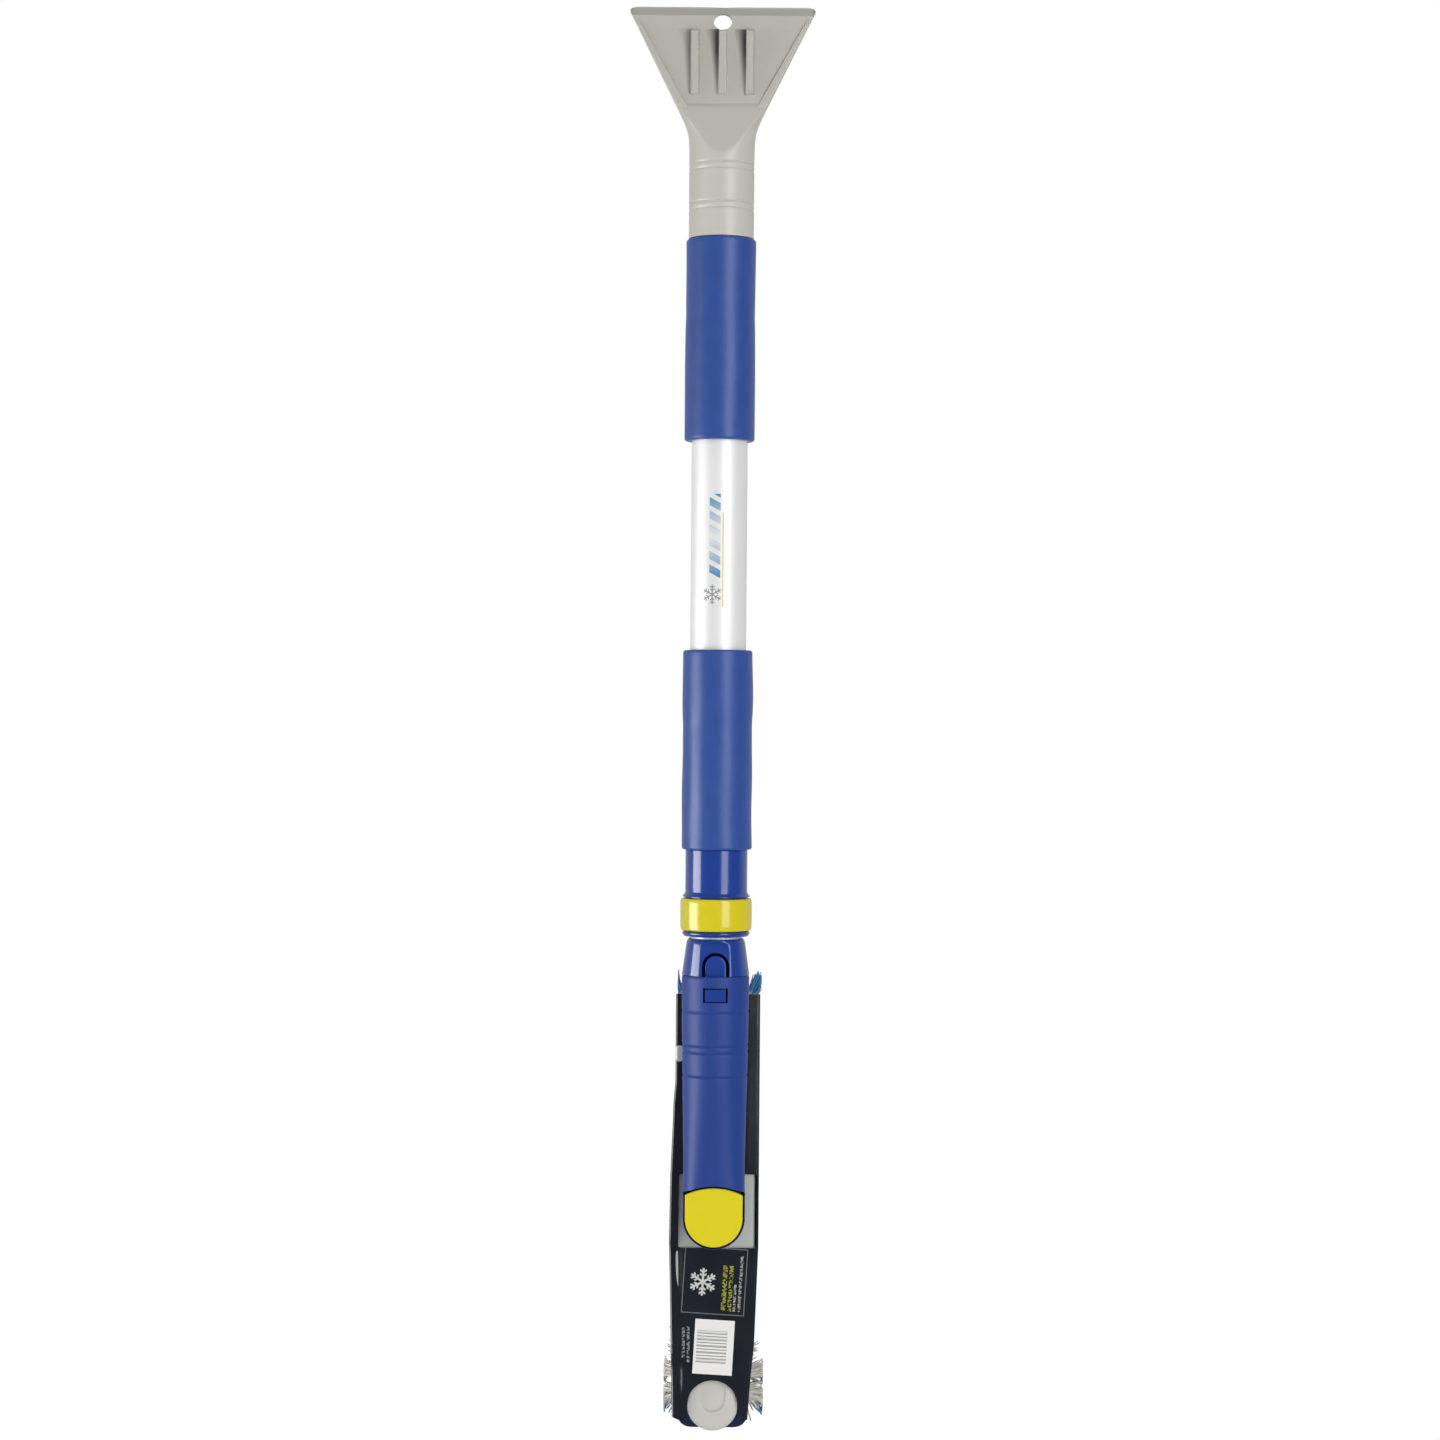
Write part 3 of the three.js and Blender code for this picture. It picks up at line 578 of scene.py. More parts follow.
def tube_finish(name, base, printed):
    """Satin anodised tube with fine lines along it, and a print if printed."""
    paint = Paint(name)
    lines = paint.noise(0.35, detail=3, roughness=0.7, stretch=(1, 1, 0.004))
    cloud = paint.noise(11, detail=3)
    tint = paint.blend((lines * 0.5 + cloud * 0.5).clamp(), shade(base, 0.93), shade(base, 1.04))
    rough = (lines - 0.5) * 0.12 + (cloud - 0.5) * 0.06 + 0.45
    metal = 0.2
    if printed:
        x, y, z = paint.axes()
        front = y < 0
        lean = x * 0.55 + z
        stripe = (lean / 7.6).math("FRACT").between(0.18, 0.78)
        block = x.between(-5.4, 0.9) * z.between(-318, -270.5) * stripe
        fade = ((z + 294).math("ABSOLUTE") / 24).clamp()
        line = x.between(1.9, 2.75) * z.between(-334.5, -281)
        flake = snowflake(x, z, (-3.6, -327.5), 5.6, 0.34)
        blue = block * front * (fade * 0.95 + 0.05)
        tint = paint.blend(blue, tint, (0.01, 0.25, 0.52))
        tint = paint.blend(line * front * 0.75, tint, (0.72, 0.62, 0.16))
        tint = paint.blend(flake * front * 0.8, tint, (0.16, 0.17, 0.19))
        ink = ((blue + line * 0.75 + flake * 0.8) * front).clamp()
        metal = (1.0 - ink) * 0.2
        rough = rough + ink * 0.1
    return paint.done(
        Base_Color=tint, Metallic=metal, Roughness=rough.clamp(), Normal=paint.bump(lines, 0.006)
    )


def snowflake(x, z, centre, size, line):
    """1 on a six-armed snowflake: three crossing bars with two chevrons on each arm."""
    across, up = x - centre[0], z - centre[1]
    reach = (across * across + up * up).math("SQRT")
    marks = None
    for arm in range(3):
        angle = arm * math.pi / 3 + math.pi / 6
        along = across * math.cos(angle) + up * math.sin(angle)
        aside = (up * math.cos(angle) - across * math.sin(angle)).math("ABSOLUTE")
        far = along.math("ABSOLUTE")
        bar = aside < line
        for spot in (0.42, 0.7):
            chevron = (far - aside * 0.6 - size * spot).math("ABSOLUTE") < line
            bar = bar.either(chevron * (aside < size * 0.24))
        marks = bar if marks is None else marks.either(bar)
    return marks * (reach < size)


def card_finish(name, colours):
    """Glossy black card: print on its front panel, creases, a painted glint on the upper left and a
    painted sheen on the upper right.
    """
    paint = Paint(name)
    x, y, z = paint.axes()
    front = y < 22.2
    back = y > 24

    def turned(centre, degrees):
        angle = math.radians(degrees)
        across, up = x - centre[0], z - centre[1]
        return (across * math.cos(angle) - up * math.sin(angle),
                across * math.sin(angle) + up * math.cos(angle))

    cloud = paint.noise(16, detail=3)
    tint = paint.blend(cloud, shade(colours.card, 0.7), shade(colours.card, 1.5))
    u, v = turned((0.8, -722.9), 3.35)
    p, q = turned((0.5, -761.2), 3.1)
    blots = paint.noise(1.15, detail=2, roughness=0.75, stretch=(0.6, 1, 1)) > 0.5

    def column(across, up, x0, x1, z0, z1):
        return across.between(x0, x1) * up.between(z0, z1) * blots

    border = box_line(u, v, (-18.0, 18.0), (-19.1, 19.1), 0.3)
    flake = snowflake(u, v, (-6.8, -0.9), 8.0, 0.62)
    yellow = column(u, v, 4.6, 7.2, -17.0, 9.3).either(column(u, v, 8.3, 10.6, -17.0, 9.3))
    white = column(u, v, 11.4, 12.9, -17.0, -1.5).either(column(u, v, 14.2, 15.9, -17.0, 15.3))
    small = column(x, z, -17.9, -16.2, -767.4, -750.0).either(
        column(x, z, -15.0, -13.4, -770.0, -749.3))
    panel = p.between(-11.45, 11.45) * q.between(-15.85, 15.85)
    bars = (q * 3.4).math("SINE") + (q * 8.3 + 0.7).math("SINE") * 0.8
    bars = (bars > 0.35) * p.between(-10.0, 7.6) * q.between(-9.2, 9.6)
    for mask, ink in (
        (border, (0.16, 0.17, 0.18)), (flake, (0.66, 0.66, 0.64)),
        (yellow * 0.85, colours.print_yellow), (white * 0.8, (0.5, 0.5, 0.48)),
        (small * 0.6, (0.5, 0.5, 0.5)), (panel, (0.92, 0.91, 0.89)),
        (bars * 0.85, (0.10, 0.10, 0.11)),
    ):
        tint = paint.blend(mask * front, tint, ink)
    # painted highlight: a whitish glint on the upper left of the front
    painted_glint = (x + 20.6) * (x + 20.6) * 0.11 + (z + 591.5) * (z + 591.5) * 0.045
    tint = paint.blend((painted_glint < 1.0) * front * 0.9, tint, (0.85, 0.85, 0.85))
    # painted sheen: the upper right of the front is lightened to grey
    painted_sheen = ((x - 18.5) * 0.5).clamp() * ((z + 665) * 0.03).clamp() * front
    tint = paint.blend(painted_sheen * (cloud * 0.5 + 0.5), tint, (0.042, 0.044, 0.047))
    side_band = ((z * 0.8 + y) / 46).math("FRACT").between(0.0, 0.16) * back
    side_flake = None
    for centre in ((52, -596), (84, -640), (50, -690), (82, -738)):
        mark = snowflake(y, z, centre, 12, 0.8)
        side_flake = mark if side_flake is None else side_flake.either(mark)
    tint = paint.blend(side_band, tint, (0.012, 0.06, 0.22))
    tint = paint.blend(side_flake * back * 0.7, tint, (0.42, 0.48, 0.55))
    creases = paint.noise(26, detail=4, roughness=0.62, stretch=(1, 1, 0.45))
    fibre = paint.noise(0.5, detail=2)
    rough = (cloud - 0.5) * 0.2 + panel * front * 0.3 + 0.24
    fine = paint.bump(fibre, 0.01)
    bent = paint.bump(creases, 1.6, 0.5, fine)
    return paint.done(
        Base_Color=tint, Roughness=rough.clamp(), Normal=bent,
        Coat_Weight=0.35, Coat_Roughness=0.12,
    )


def box_line(x, z, wide, tall, half):
    """1 on the outline of a rectangle, half as thick each way."""
    outer = x.between(wide[0] - half, wide[1] + half) * z.between(tall[0] - half, tall[1] + half)
    inner = x.between(wide[0] + half, wide[1] - half) * z.between(tall[0] + half, tall[1] - half)
    return outer - inner


def raw_card(name):
    """The white core of the card, seen at its cut edges."""
    paint = Paint(name)
    fibre = paint.noise(0.6, detail=3)
    tint = paint.blend(fibre, (0.42, 0.42, 0.41), (0.62, 0.62, 0.60))
    return paint.done(Base_Color=tint, Roughness=0.85, Normal=paint.bump(fibre, 0.03))


def fibre_finish(name, base, tip, start):
    """Bristle plastic, pale along its length and dyed at the tip."""
    paint = Paint(name)
    along = paint.node("ShaderNodeAttribute", {"attribute_name": "along"}, outlet=2)
    each = paint.node("ShaderNodeAttribute", {"attribute_name": "each"}, outlet=2)
    dyed = ((along + (each - 0.5) * 0.10 - start) * 9).clamp()
    plain = paint.blend(each, shade(base, 0.75), shade(base, 1.15))
    tint = paint.blend(dyed, plain, tip)
    grain = paint.noise(0.3, detail=1)
    return paint.done(
        Base_Color=tint, Roughness=(grain * 0.2 + 0.3).clamp(), Normal=paint.bump(grain, 0.01)
    )


def steel_finish(name):
    """Zinc-plated steel with turning marks and a cloudy tone."""
    paint = Paint(name)
    base = (0.55, 0.56, 0.58)
    cloud = paint.noise(2.5, detail=3)
    lines = paint.noise(0.2, detail=2, stretch=(1, 0.05, 1))
    tint = paint.blend(cloud, shade(base, 0.8), shade(base, 1.15))
    return paint.done(
        Base_Color=tint, Metallic=1.0, Roughness=((cloud - 0.5) * 0.2 + 0.33).clamp(),
        Normal=paint.bump(lines, 0.01),
    )


def floor_finish(name):
    """Pale matte studio floor."""
    paint = Paint(name)
    cloud = paint.noise(300, detail=2)
    tint = paint.blend(cloud, (0.80, 0.80, 0.80), (0.84, 0.84, 0.84))
    return paint.done(
        Base_Color=tint, Roughness=0.9, Emission_Color=tint, Emission_Strength=0.55
    )


FINISHES = {}


def make_finishes(colours):
    """Every material of the tool, by name."""
    FINISHES.update({
        "scraper": moulded("scraper_plastic", colours.scraper, 0.37, grain=0.7, mottle=0.16,
                           blade=True),
        "pad": moulded("pad_plastic", colours.pad, 0.42, grain=0.6, mottle=0.14),
        "inner_plastic": moulded("inner_plastic", colours.scraper, 0.45),
        "spine": moulded("spine_plastic", colours.spine, 0.45, grain=0.6, mottle=0.2),
        "foam": foam_finish("grip_foam", colours.foam),
        "gloss_blue": moulded("glossy_blue_plastic", colours.gloss_blue, 0.2, grain=1.6,
                              grain_depth=0.004, mottle=0.12, coat=0.6),
        "arm_blue": moulded("satin_blue_plastic", colours.arm_blue, 0.46, grain=0.45,
                            grain_depth=0.02, mottle=0.22, shine=0.3),
        "collar": moulded("collar_plastic", colours.yellow, 0.2, grain=1.5, grain_depth=0.004,
                          mottle=0.08, coat=0.4),
        "button": moulded("button_plastic", shade(colours.yellow, 1.04), 0.5, grain=0.4,
                          grain_depth=0.02, mottle=0.12, shine=0.2),
        "navy": moulded("navy_plastic", colours.navy, 0.4, mottle=0.2),
        "tube": tube_finish("anodised_tube", (0.955, 0.96, 0.95), printed=True),
        "inner_tube": tube_finish("inner_anodised_tube", (0.93, 0.935, 0.93), printed=False),
        "card": card_finish("printed_card", colours),
        "card_core": raw_card("card_core"),
        "fibre": fibre_finish("bristle_fibre", colours.fibre, colours.fibre_tip, 0.80),
        "fibre_inner": fibre_finish(
            "inner_bristle_fibre", (0.02, 0.05, 0.16), colours.fibre_tip, 0.86),
        "steel": steel_finish("plated_steel"),
        "floor": floor_finish("studio_floor"),
    })


# -------------------------------------------------------------------- scraper

BLADE = {"edge": 8.3, "bevel": 3.6, "half": 53, "shoulder": 6, "neck": -62.6, "neck_half": 18.9}
NECK_RADIUS = 18.6
BACK_DEPTH = 2.0
RIBS = {"places": (-15.9, -0.1, 15.5), "half": 2.35, "top": -4.4, "bottom": -42.0, "rise": 7.2}
THROAT = {"top": -49.5, "rise": 6.5, "bottom": -77.0}


def blade_half_width(z):
    """Half the width at height z: full, then tapering straight to the neck."""
    slope = (BLADE["half"] - BLADE["neck_half"]) / (BLADE["shoulder"] - BLADE["neck"])
    tapered = BLADE["neck_half"] + (z - BLADE["neck"]) * slope
    soft = NECK_RADIUS + 1.6 * np.logaddexp(0, (tapered - NECK_RADIUS) / 1.6)
    corner = np.clip((z - BLADE["edge"] + 2.2) / 2.2, 0, 1)
    return np.minimum(soft, BLADE["half"]) - 2.2 * (1 - np.sqrt(1 - corner ** 2))


def side_round(inside, radius):
    """Height of a quarter circle of radius, inside mm in from the edge."""
    d = np.clip(inside, 0, radius)
    return np.sqrt(np.maximum(2 * radius * d - d * d, 0))


def soft_min(a, b, width):
    """The smaller of a and b with the corner between them rounded."""
    h = np.clip(0.5 + 0.5 * (b - a) / width, 0, 1)
    return b + (a - b) * h - width * h * (1 - h)


def side_limit(inside, z, wall):
    """How far the scraper may stand off its middle plane, inside mm in from its outline.

    The blade's side is a wall of that height with a small round edge; towards
    the neck the wall shrinks and the round grows into the neck's quarter circle.
    """
    share = smoothstep(-z, 44, 63)
    radius = 0.8 + (NECK_RADIUS - 0.8) * share
    return side_round(inside, radius) + (1 - share) * (
        np.maximum(wall - 0.8, 0) + 4 * np.maximum(inside - 1, 0))


def front_relief(x, z, half):
    """How far the scraper's front stands before the middle plane.

    On the blade: a panel that comes forward towards the neck, a bevel at its
    edge, slanted side rims and three ribs. Below the panel: a step and a slope
    that meet the round neck.
    """
    inside = half - np.abs(x)
    panel = np.interp(-z, [4, 46], [2.0, 5.0])
    bevel = np.clip((z - BLADE["bevel"]) / (BLADE["edge"] - BLADE["bevel"]), 0, 1) * 1.8
    rims = 1 - smoothstep(z, -3.0, 2.5)
    rim_width = np.interp(-z, [0, 48], [2.8, 5.6])
    rim = 1 - smoothstep(inside - rim_width, -0.35, 0.35)
    groove = np.exp(-(((inside - rim_width - 0.7) / 0.45) ** 2))
    relief = panel - bevel + (rim * 1.3 - groove * 0.45) * rims
    for place in RIBS["places"]:
        across = 1 - smoothstep(np.abs(x - place), RIBS["half"] - 0.3, RIBS["half"] + 0.3)
        along = smoothstep(z, RIBS["bottom"] - 0.5, RIBS["bottom"] + 0.5)
        along = along * (1 - smoothstep(z, RIBS["top"] - 1.6, RIBS["top"]))
        relief = np.maximum(relief, panel + (RIBS["rise"] - panel) * across * along)
    slope = (z - THROAT["top"]) / (THROAT["bottom"] - THROAT["top"])
    plane = THROAT["rise"] + (NECK_RADIUS - THROAT["rise"]) * np.clip(slope, 0, 1.3)
    below = 1 - smoothstep(z, THROAT["top"] - 0.3, THROAT["top"] + 2.6)
    relief = relief * (1 - below) + plane * below
    limit = side_limit(inside, z, panel - bevel + 1.3 * rims)
    return soft_min(relief, limit, 0.7 * smoothstep(-z, 40, 52) + 0.2)


def back_relief(x, z, half):
    """How far the back stands behind the middle plane: flat, then sloping to the neck."""
    slope = np.clip((z + 38) / (THROAT["bottom"] + 38), 0, 1.3)
    plane = BACK_DEPTH + (NECK_RADIUS - BACK_DEPTH) * slope
    limit = side_limit(half - np.abs(x), z, BACK_DEPTH)
    return soft_min(plane, limit, 0.7 * smoothstep(-z, 40, 52) + 0.2)


def ring_grooves(z):
    """Depth of the neck's two pairs of fine ring grooves."""
    return sum(0.5 * np.exp(-(((z - spot) / 0.5) ** 2)) for spot in (-82, -85.4, -104.3, -107.7))


def scraper_rings(neck_end):
    """Rings of the scraper from its edge down to the neck's end.

    A ring goes along the front from -x to +x and back behind; x is
    half sin(t), so that points crowd where the edges turn.
    """
    z = np.concatenate([
        np.linspace(BLADE["edge"], 2, 16)[:-1], np.linspace(2, -52, 112)[:-1],
        np.linspace(-52, -80, 36)[:-1], np.linspace(-80, neck_end, 72),
    ])[:, None]
    half = blade_half_width(z)
    front_x = half * np.sin(np.linspace(-1, 1, 301) * math.pi / 2)
    back_x = half * np.sin(np.linspace(1, -1, 101) * math.pi / 2)
    dip_front = 1.5 * np.exp(-((front_x / 5.2) ** 2))
    dip_back = 1.5 * np.exp(-((back_x / 5.2) ** 2))
    near_edge = smoothstep(z, 4.5, BLADE["edge"])
    groove = ring_grooves(z)
    rings = [
        np.stack([
            x * (1 - groove / NECK_RADIUS), side * relief(x, z, half) * (1 - groove / NECK_RADIUS),
            z - dip * near_edge,
        ], -1)
        for x, side, relief, dip in (
            (front_x, -1, front_relief, dip_front), (back_x, 1, back_relief, dip_back),
        )
    ]
    return np.concatenate(rings, 1)


def hole_cutter(radius):
    """A long bar along Y through the hang hole, a little wider than tall."""
    outline = circle(0, 0, radius, 48) * (1.06, 0.94)
    return add_skin("cutter", stacked(outline, [(0, -20), (0, 20)]))


def add_scraper():
    """The scraper: blade, ribs, rims and hollow neck in one moulding."""
    neck_end = cad_box("scraper_blade")[0][2]
    scraper = add_skin("scraper", scraper_rings(neck_end))
    merge_doubles(scraper)
    below = neck_end - 2
    bore = revolve(np.array([[0.01, -78], [16.3, -78], [16.3, below], [0.01, below]]), 96)
    carve(scraper, hole_cutter(4.9), add_skin("cutter", bore))
    finish_piece(scraper, FINISHES["scraper"], "handle", "grey_plastic", "scraper_blade")
    soften(scraper, 0.35, angle=50)


def merge_doubles(obj):
    """Merges points that lie together."""
    work = bmesh.new()
    work.from_mesh(obj.data)
    bmesh.ops.remove_doubles(work, verts=work.verts, dist=1e-6)
    bmesh.ops.recalc_face_normals(work, faces=work.faces)
    work.to_mesh(obj.data)
    work.free()


# ---------------------------------------------------------------- round pieces


def add_round(name, corners, radius, finish, body, slot, node, step=None):
    """A ring turned from a closed (radius, z) profile with rounded corners."""
    profile = rounded(corners, radius)
    if step:
        profile = subdivided(profile, step)
    obj = add_skin(name, revolve(profile), "loop")
    finish_piece(obj, FINISHES[finish], body, slot, node)


def tube_corners(inner, outer, low, high):
    """The four corners of a plain tube's profile."""
    return [(inner, low), (outer, low), (outer, high), (inner, high)]


def add_grip(name, sizes, seed):
    """A foam sleeve with soft round ends and a slightly uneven skin.

    Its radius is the turned profile's plus the waves' height, so the skin
    swells and dents by a fraction of a millimetre.
    """
    low, high = cad_box(name)
    outer = high[0] - 0.1
    profile = rounded(tube_corners(16.15, outer, low[2] - 0.25, high[2] - 0.2),
                      [0.4, sizes.grip_corner, sizes.grip_corner, 0.4], steps=6)
    profile = subdivided(profile, 1.6)
    rings = revolve(profile, 144)
    radius = np.linalg.norm(rings[..., :2], axis=-1)
    outside = smoothstep(radius, outer - 1.5, outer)
    swell = waves(rings, 26, seed) * sizes.grip_unevenness
    bands = np.exp(-(((rings[..., 2] - (low[2] + high[2]) / 2 - 14) / 5) ** 2)) * 0.18
    rings[..., :2] *= (1 + outside * (swell - bands) / radius)[..., None]
    grip = add_skin(name.replace("foam_", ""), rings, "loop")
    finish_piece(grip, FINISHES["foam"], "handle", "foam", name)


# ------------------------------------------------------------ lock and adapter


def add_lock(sizes):
    """The twist lock: housing with its rim, yellow collar and end ring."""
    house_low, house_high = cad_box("lock_housing")
    add_round(
        "housing",
        [(16.3, house_high[2]), (17.7, house_high[2]), (17.7, -497.2), (19.2, -499.0),
         (19.2, -499.4), (18.2, -499.5), (18.2, -500), (17, -500), (17, house_low[2]),
         (14.8, house_low[2]), (14.8, -492.3), (16.3, -492.3)],
        [0.2, 0.35, 0.9, 0.3, 0.15, 0.1, 0.1, 0.2, 0.3, 0.3, 0.2, 0.2],
        "gloss_blue", "handle", "gloss_blue", "lock_housing", step=6,
    )
    ring_low, ring_high = cad_box("lock_end_ring")
    add_round(
        "end_ring",
        [(17.3, ring_low[2]), (18.3, ring_low[2] + 0.1), (19.2, ring_low[2] + 1.4),
         (19.2, ring_high[2] - 0.7), (18.6, ring_high[2]), (17.3, ring_high[2])],
        0.4, "gloss_blue", "handle", "gloss_blue", "lock_end_ring",
    )
    low, high = cad_box("lock_collar")
    outer = high[0]
    add_round(
        "collar",
        [(17.35, low[2]), (outer - 0.5, low[2]), (outer, low[2] + 2), (outer, high[2] - 2),
         (outer - 0.5, high[2]), (17.35, high[2])],
        [0.2, sizes.collar_corner, 1.5, 1.5, sizes.collar_corner, 0.2],
        "collar", "collar", "yellow_gloss", "lock_collar", step=4,
    )


ADAPTER = {"top": -523.2, "chamfer": -525.2, "shoulder": -544.0, "flat": 2.0}


def cone_radius(z):
    """The adapter's outer radius at height z."""
    heights = [-ADAPTER["top"], -ADAPTER["chamfer"], -ADAPTER["shoulder"]]
    return np.interp(-z, heights, [15.7, 16.7, 19.3])


def arch(half, top, bottom):
    """An outline in X and Z: straight sides and a half-round top."""
    return np.concatenate([
        [(-half, bottom)], [(half, bottom)], arc(0, top - half, half, 0, 180, 25),
    ])


def add_adapter():
    """The adapter cone with a flat on its front and an arched slot for the tongue."""
    low, high = cad_box("adapter")
    profile = rounded(
        [(11, high[2]), (13.2, high[2]), (13.2, -530), (14.8, -530), (14.8, ADAPTER["top"]),
         (15.7, ADAPTER["top"]), (16.7, ADAPTER["chamfer"]), (19.3, ADAPTER["shoulder"]),
         (16.9, ADAPTER["shoulder"]), (16.9, low[2]), (12.6, low[2]), (12.6, -533), (11, -531)],
        [0.3, 0.3, 0.1, 0.1, 0.2, 0.3, 0.6, 0.25, 0.2, 0.4, 0.3, 0.2, 0.2],
    )
    rings = revolve(subdivided(profile, 2.5), 144)
    z, y = rings[..., 2], rings[..., 1]
    facet = cone_radius(z) - ADAPTER["flat"] * smoothstep(-z, 523.6, 526.5)
    on_cone = (z < ADAPTER["top"] + 0.1) & (z > ADAPTER["shoulder"] - 0.1) & (y < 0)
    rings[..., 1] = np.where(on_cone, np.maximum(y, -facet), y)
    obj = add_skin("adapter_cone", rings, "loop")
    slot = stacked(arch(7.7, -530.6, -592), [(0, -26), (0, -8)])
    carve(obj, add_skin("cutter", slot))
    finish_piece(obj, FINISHES["gloss_blue"], "extension", "gloss_blue", "adapter", crease=30)
    soften(obj, 0.3, angle=40)


def add_tongue():
    """The arched snap tongue: a thin plate, a raised thumb pad and its catch."""
    outline = arch(6.1, -532.2, -590)
    rings = stacked(outline, slab_steps(-16.9, -14.6, 0.9))
    z = rings[..., 2]
    rings[..., 1] += np.interp(-z, [532, 543.5, 546.5, 590], [1.5, 0.1, 1.3, 1.3])
    obj = add_skin("tongue", rings)
    catch = add_box("cutter", (-5.9, -19.15, -558.1), (5.9, -14.9, -551.3))
    join_on(obj, catch)
    finish_piece(obj, FINISHES["gloss_blue"], "tongue", "gloss_blue", "release_tongue")
    soften(obj, 0.35, angle=50)


# ------------------------------------------------------------------------ arm

PIVOT = np.array(
    next(joint["pos_m"] for joint in frame["joints"] if joint["name"] == "head_pivot")
) / MM
HUB_AXIS = (0, PIVOT[2])
GEAR_BORE = 11
ARM_GROOVES = (-564.7, -583.8, -587.7, -601.2)
BUTTON = {"half": 16.6, "apex": -664.1, "corner": -668.1, "front": -14.2}


def button_outline(grow):
    """The button's outline: a shallow arc on top, straight sides, a round bottom."""
    half = BUTTON["half"] + grow
    t = np.linspace(0, 1, 25)
    top_x = half * (1 - 2 * t)
    top_z = BUTTON["corner"] + grow + (BUTTON["apex"] - BUTTON["corner"]) * 4 * t * (1 - t)
    sides = np.linspace(BUTTON["corner"] + grow - 1, PIVOT[2] + 1, 5)
    return np.concatenate([
        np.column_stack([top_x, top_z]),
        np.column_stack([np.full(5, -half), sides]),
        arc(0, PIVOT[2], half, 180, 360, 49),
        np.column_stack([np.full(5, half), sides[::-1]]),
    ])


def add_arm():
    """The arm: a hollow tapering shell that ends in a round cup for the button."""
    top = cad_box("arm_shell")[1][2]
    rings = superellipse([
        (top, 19.3, -20, 20, 2), (-572, 19.1, -19.7, 19.7, 2), (-600, 18.6, -19.3, 19.3, 2),
        (-612, 18.4, -18.8, 18.6, 2.05), (-648, 17.7, -16.4, 15, 2.3),
        (-664, 17.6, -15.4, 14, 2.6), (PIVOT[2], 17.6, -15, 14, 3.2),
    ], 300, 144)
    z = rings[..., 2:3]
    dents = sum(0.45 * np.exp(-(((z - spot) / 0.5) ** 2)) for spot in ARM_GROOVES)
    swell = waves(rings, 40, 5)[..., None] * 0.12
    lip = 0.9 * np.exp(-(((z - top) / 0.7) ** 2))
    rings[..., :2] *= 1 - (dents + lip * 0.5 - swell * smoothstep(-z, 560, 600)) / 19
    shell = add_skin("arm", rings)

    socket = superellipse([
        (top + 2, 17.2, -17.2, 17.2, 2), (-590, 17.2, -17.2, 17.2, 2),
        (-602, 17.2, -17.2, 17.2, 2), (-604, 15, -15, 15, 2),
    ], 24, 96)
    cup_outline = np.concatenate([
        [(-17.7, -668)], arc(0, PIVOT[2], 17.7, 180, 360, 73), [(17.7, -668)],
    ])
    cup = add_skin("cutter", stacked(subdivided(cup_outline, 1.5), slab_steps(-13.6, 14, 1.0)))
    above = add_skin("cutter", stacked(button_outline(1.15), [(0, -30), (0, -13.6)]))
    pocket = add_skin("cutter", stacked(button_outline(0.72), [(0, -30), (0, -1.5)]))
    window = add_box("cutter", (-7, -26, -558.7), (7, -8, -550.4))
    gear_bore = add_skin("cutter", stacked(circle(*HUB_AXIS, GEAR_BORE, 48), [(0, 4), (0, 20)]))
    carve(shell, above)
    join_on(shell, cup)
    carve(shell, pocket, add_skin("cutter", socket), window, gear_bore)
    finish_piece(shell, FINISHES["arm_blue"], "extension", "matte_blue", "arm_shell", crease=30)
    soften(shell, 0.3, angle=40)


def add_button():
    """The push button: a slightly domed shield with three prongs behind it."""
    outline = button_outline(-0.2)
    steps = slab_steps(BUTTON["front"], -11.7, 0.8)
    rings = stacked(outline, steps)
    middle = np.array([0, 0, (BUTTON["apex"] + PIVOT[2] - BUTTON["half"]) / 2])
    inner = []
    for share in (0.12, 0.35, 0.6, 0.8, 0.93):
        ring = rings[0] * 1.0
        ring = middle + (ring - middle) * (share, 1, share)
        ring[:, 1] = BUTTON["front"] - 0.55 * (1 - share ** 2)
        inner.append(ring)
    button = add_skin("button", np.concatenate([inner, rings]))
    for turn in (0, 120, 240):
        x = 7.8 * math.sin(math.radians(turn))
        z = PIVOT[2] + 7.8 * math.cos(math.radians(turn))
        prong = stacked(circle(x, z, 1.6, 16), [(0, -12), (0, 9.2)])
        join_on(button, add_skin("cutter", prong))
    finish_piece(button, FINISHES["button"], "button", "yellow_matte", "pivot_button")


# ----------------------------------------------------------------- brush head


END_OFFSET = 113.9
SPINE = {"half": 24.2, "end": 14.9, "waist": 30, "front": 22, "back": 40}
HUB_RADIUS = 13.5
SEAT = {"radius": 13.6, "depth": 24.2}


def spine_outline():
    """The head's outline: widest by the hub, tapering smoothly to round ends."""
    high, low = PIVOT[2] + END_OFFSET, PIVOT[2] - END_OFFSET
    half, end = SPINE["half"], SPINE["end"]
    t = np.linspace(0.04, 0.96, 16)[:, None]

    def taper(start, lead, follow, end):
        return ((1 - t) ** 3 * np.array(start) + 3 * t * (1 - t) ** 2 * np.array(lead)
                + 3 * t ** 2 * (1 - t) * np.array(follow) + t ** 3 * np.array(end))

    waist_high, waist_low = PIVOT[2] + SPINE["waist"], PIVOT[2] - SPINE["waist"]
    return np.concatenate([
        arc(0, high, end, 0, 180, 33),
        taper((-end, high), (-end, high - 20), (-half, waist_high + 20), (-half, waist_high)),
        np.column_stack([np.full(12, -half), np.linspace(waist_high, waist_low, 12)]),
        taper((-half, waist_low), (-half, waist_low - 20), (-end, low + 20), (-end, low)),
        arc(0, low, end, 180, 360, 33),
        taper((end, low), (end, low + 20), (half, waist_low - 20), (half, waist_low)),
        np.column_stack([np.full(12, half), np.linspace(waist_low, waist_high, 12)]),
        taper((half, waist_high), (half, waist_high + 20), (end, high - 20), (end, high)),
    ])


